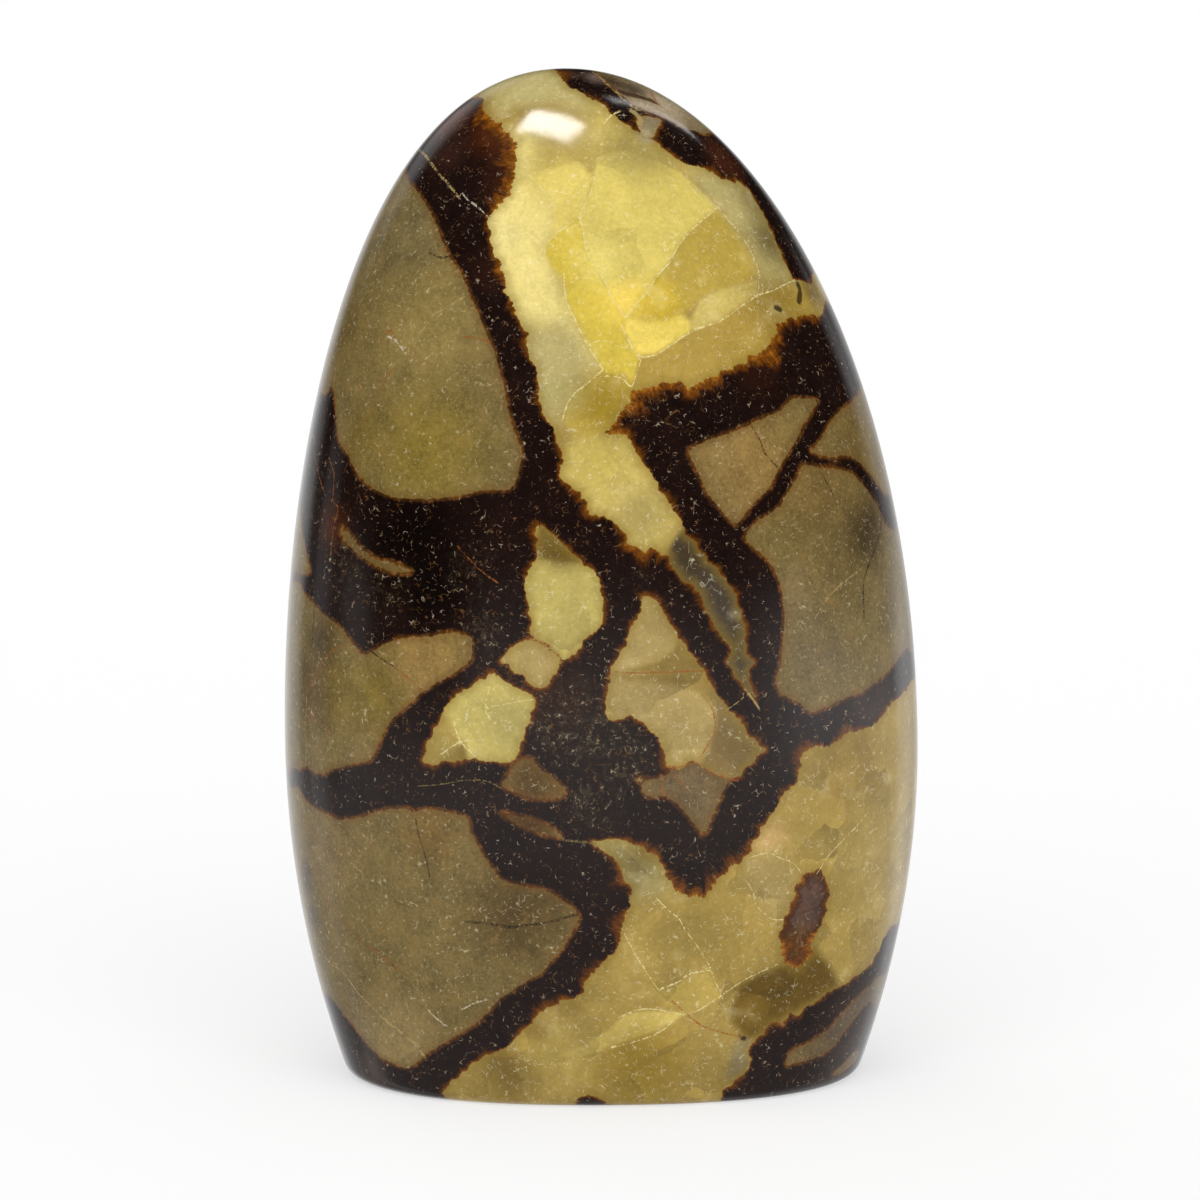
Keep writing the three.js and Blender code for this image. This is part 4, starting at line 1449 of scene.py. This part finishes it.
def add_staging(name, corners, faces, material):
    mesh = bpy.data.meshes.new(name)
    mesh.from_pydata(corners, [], faces)
    mesh.materials.append(material)
    staging = bpy.data.objects.new(name, mesh)
    staging.visible_glossy = False  # the world stands in for it in the polish
    bpy.context.scene.collection.objects.link(staging)
    return staging


def add_studio():
    """A pale floor, and pale walls far off that close the view above it and light nothing."""
    floor = [(ROOM * x, ROOM * y, 0) for x, y in ((-1, -1), (1, -1), (1, 1), (-1, 1))]
    upper = [(x, y, ROOM_HEIGHT) for x, y, _ in floor]
    add_staging("floor", floor, [(0, 1, 2, 3)], floor_material())
    sides = [(i, (i + 1) % 4, (i + 1) % 4 + 4, i + 4) for i in range(4)]
    walls = add_staging("walls", floor + upper, sides, wall_material())
    walls.visible_diffuse = False
    walls.visible_shadow = False


def add_camera():
    data = bpy.data.cameras.new("camera")
    data.sensor_width = 36.0
    data.lens = data.sensor_width * CAMERA_DISTANCE / VIEW_WIDTH
    data.clip_start = 0.05
    data.clip_end = 30.0
    camera = bpy.data.objects.new("camera", data)
    camera.location = Vector(EYE * MM)
    camera.rotation_mode = "QUATERNION"
    camera.rotation_quaternion = Vector(-BACK).to_track_quat("-Z", "Y")
    bpy.context.scene.collection.objects.link(camera)
    bpy.context.scene.camera = camera


def add_lamp(name, kind, place, aim, strength, in_gloss=True):
    data = bpy.data.lights.new(name, kind)
    data.energy = strength
    lamp = bpy.data.objects.new(name, data)
    lamp.location = place
    lamp.rotation_mode = "QUATERNION"
    lamp.rotation_quaternion = (Vector(aim) - Vector(place)).to_track_quat("-Z", "Y")
    lamp.visible_glossy = in_gloss
    bpy.context.scene.collection.objects.link(lamp)
    return data


def add_softbox(name, place, aim, size, power):
    """A bright panel that shows in the polish and lights nothing else."""
    data = add_lamp(name, "AREA", place, aim, power)
    data.shape = "RECTANGLE"
    data.size, data.size_y = size
    bpy.data.objects[name].visible_diffuse = False


def add_glow(name, place, aim, spread, strength):
    """Even light from a wide patch of sky, which lights the stone but does not show in its polish."""
    add_lamp(name, "SUN", place, aim, strength, in_gloss=False).angle = math.radians(spread)


def mirrored(x, y, distance):
    """Where a lamp has to be to show in the polish at a pixel of the front view, and the place it
    shows at, both in metres."""
    aside = 2
    spots = seen_at([(x, y), (x + aside, y), (x, y + aside)])
    normal = np.cross(spots[1] - spots[0], spots[0] - spots[2])
    normal /= np.linalg.norm(normal)
    to_eye = EYE - spots[0]
    to_eye /= np.linalg.norm(to_eye)
    way = 2 * normal.dot(to_eye) * normal - to_eye
    return Vector(spots[0] * MM) + Vector(way) * distance, Vector(spots[0] * MM)


def studio_world():
    """What the polish reflects: a pale floor below, a bright wall behind, a dark room in front."""
    world = bpy.data.worlds.new("studio")
    g = Graph(world)
    way = g.node("ShaderNodeTexCoord").outputs["Generated"]
    x, y, z = g.node("ShaderNodeSeparateXYZ", {0: way}).outputs
    turn = g.sum("DEGREES", g.sum("ARCTAN2", x, y))  # 0 behind the stone, 90 at the viewer's right

    # The floor, with its far edge lower at the front left, and with darker and brighter stretches
    sunk = g.window(turn, -158.0, -146.0, -118.0, -106.0)
    low = g.step(g.line(sunk, 0.12, z), 0.1, -0.1)
    low = g.times(low, g.line(g.step(z, -0.2, -0.45), -0.45, 1.05))
    shade = g.times(g.window(turn, -15.0, 10.0, 40.0, 60.0), g.step(z, -0.32, -0.2))
    low = g.times(low, g.line(shade, -0.22, 1.0))
    foot = g.times(g.window(turn, 20.0, 40.0, 70.0, 100.0), g.step(z, -0.22, -0.34))
    low = g.times(low, g.line(foot, 0.5, 1.0))
    gap = g.window(turn, -100.0, -88.0, -54.0, -42.0)
    low = g.times(low, g.line(g.times(gap, g.step(z, -0.3, -0.1)), -0.8, 1.0))

    # The wall behind, a strip and a high patch at its left, and a patch at its right
    wall = g.times(g.window(turn, -38.0, -24.0, 40.0, 60.0), g.step(z, 0.2, 0.0))
    wall = g.times(wall, g.line(g.step(turn, 5.0, -12.0), 0.25, 0.65))
    strip = g.times(g.window(turn, -84.0, -76.0, -66.0, -60.0), g.step(z, 0.2, 0.05))
    left = g.times(g.window(turn, -60.0, -44.0, -28.0, 0.0), g.step(z, 0.1, 0.4), g.step(z, 0.75, 0.5))
    edge = g.times(g.window(turn, 34.0, 42.0, 48.0, 58.0), g.step(z, 0.28, 0.2), g.step(z, 0.02, 0.1))

    # The bright right side, with a slanting top, and a low patch behind it
    rise = g.line(g.add(turn, -110.0), -0.0025, z)
    right = g.times(g.window(turn, 35.0, 95.0, 122.0, 152.0), g.step(rise, 0.05, -0.08))
    right = g.times(right, g.step(z, -0.28, -0.08))
    flank = g.times(g.window(turn, 28.0, 50.0, 56.0, 64.0), g.step(z, -0.02, -0.1))
    flank = g.times(flank, g.step(z, -0.36, -0.26))

    glow = g.add(g.most(low, wall), g.line(g.most(strip, edge), 0.45, 0.01))
    glow = g.add(glow, g.add(g.line(right, 1.7, g.times(flank, 0.8)), left))
    shader = g.node("ShaderNodeBackground", {"Color": WHITE, "Strength": glow})
    g.node("ShaderNodeOutputWorld", {"Surface": shader.outputs[0]})
    return world


def add_light():
    bpy.context.scene.world = studio_world()
    add_glow("overhead", (0, 0, 1), (0, 0, 0), spread=170, strength=2.1)
    add_glow("fill", (0, -1, 0.6), (0, 0, 0), spread=80, strength=2.0)
    window, seen = mirrored(548, 122, SOFTBOX_DISTANCE)
    add_softbox("window", window, seen, size=(0.5, 0.26), power=17.0)
    ridge, seen = mirrored(642, 105, SOFTBOX_DISTANCE)
    add_softbox("ridge", ridge, seen, size=(0.10, 0.66), power=1.3)


add_stone()
add_studio()
add_camera()
add_light()
bpy.context.scene.view_settings.view_transform = "Standard"
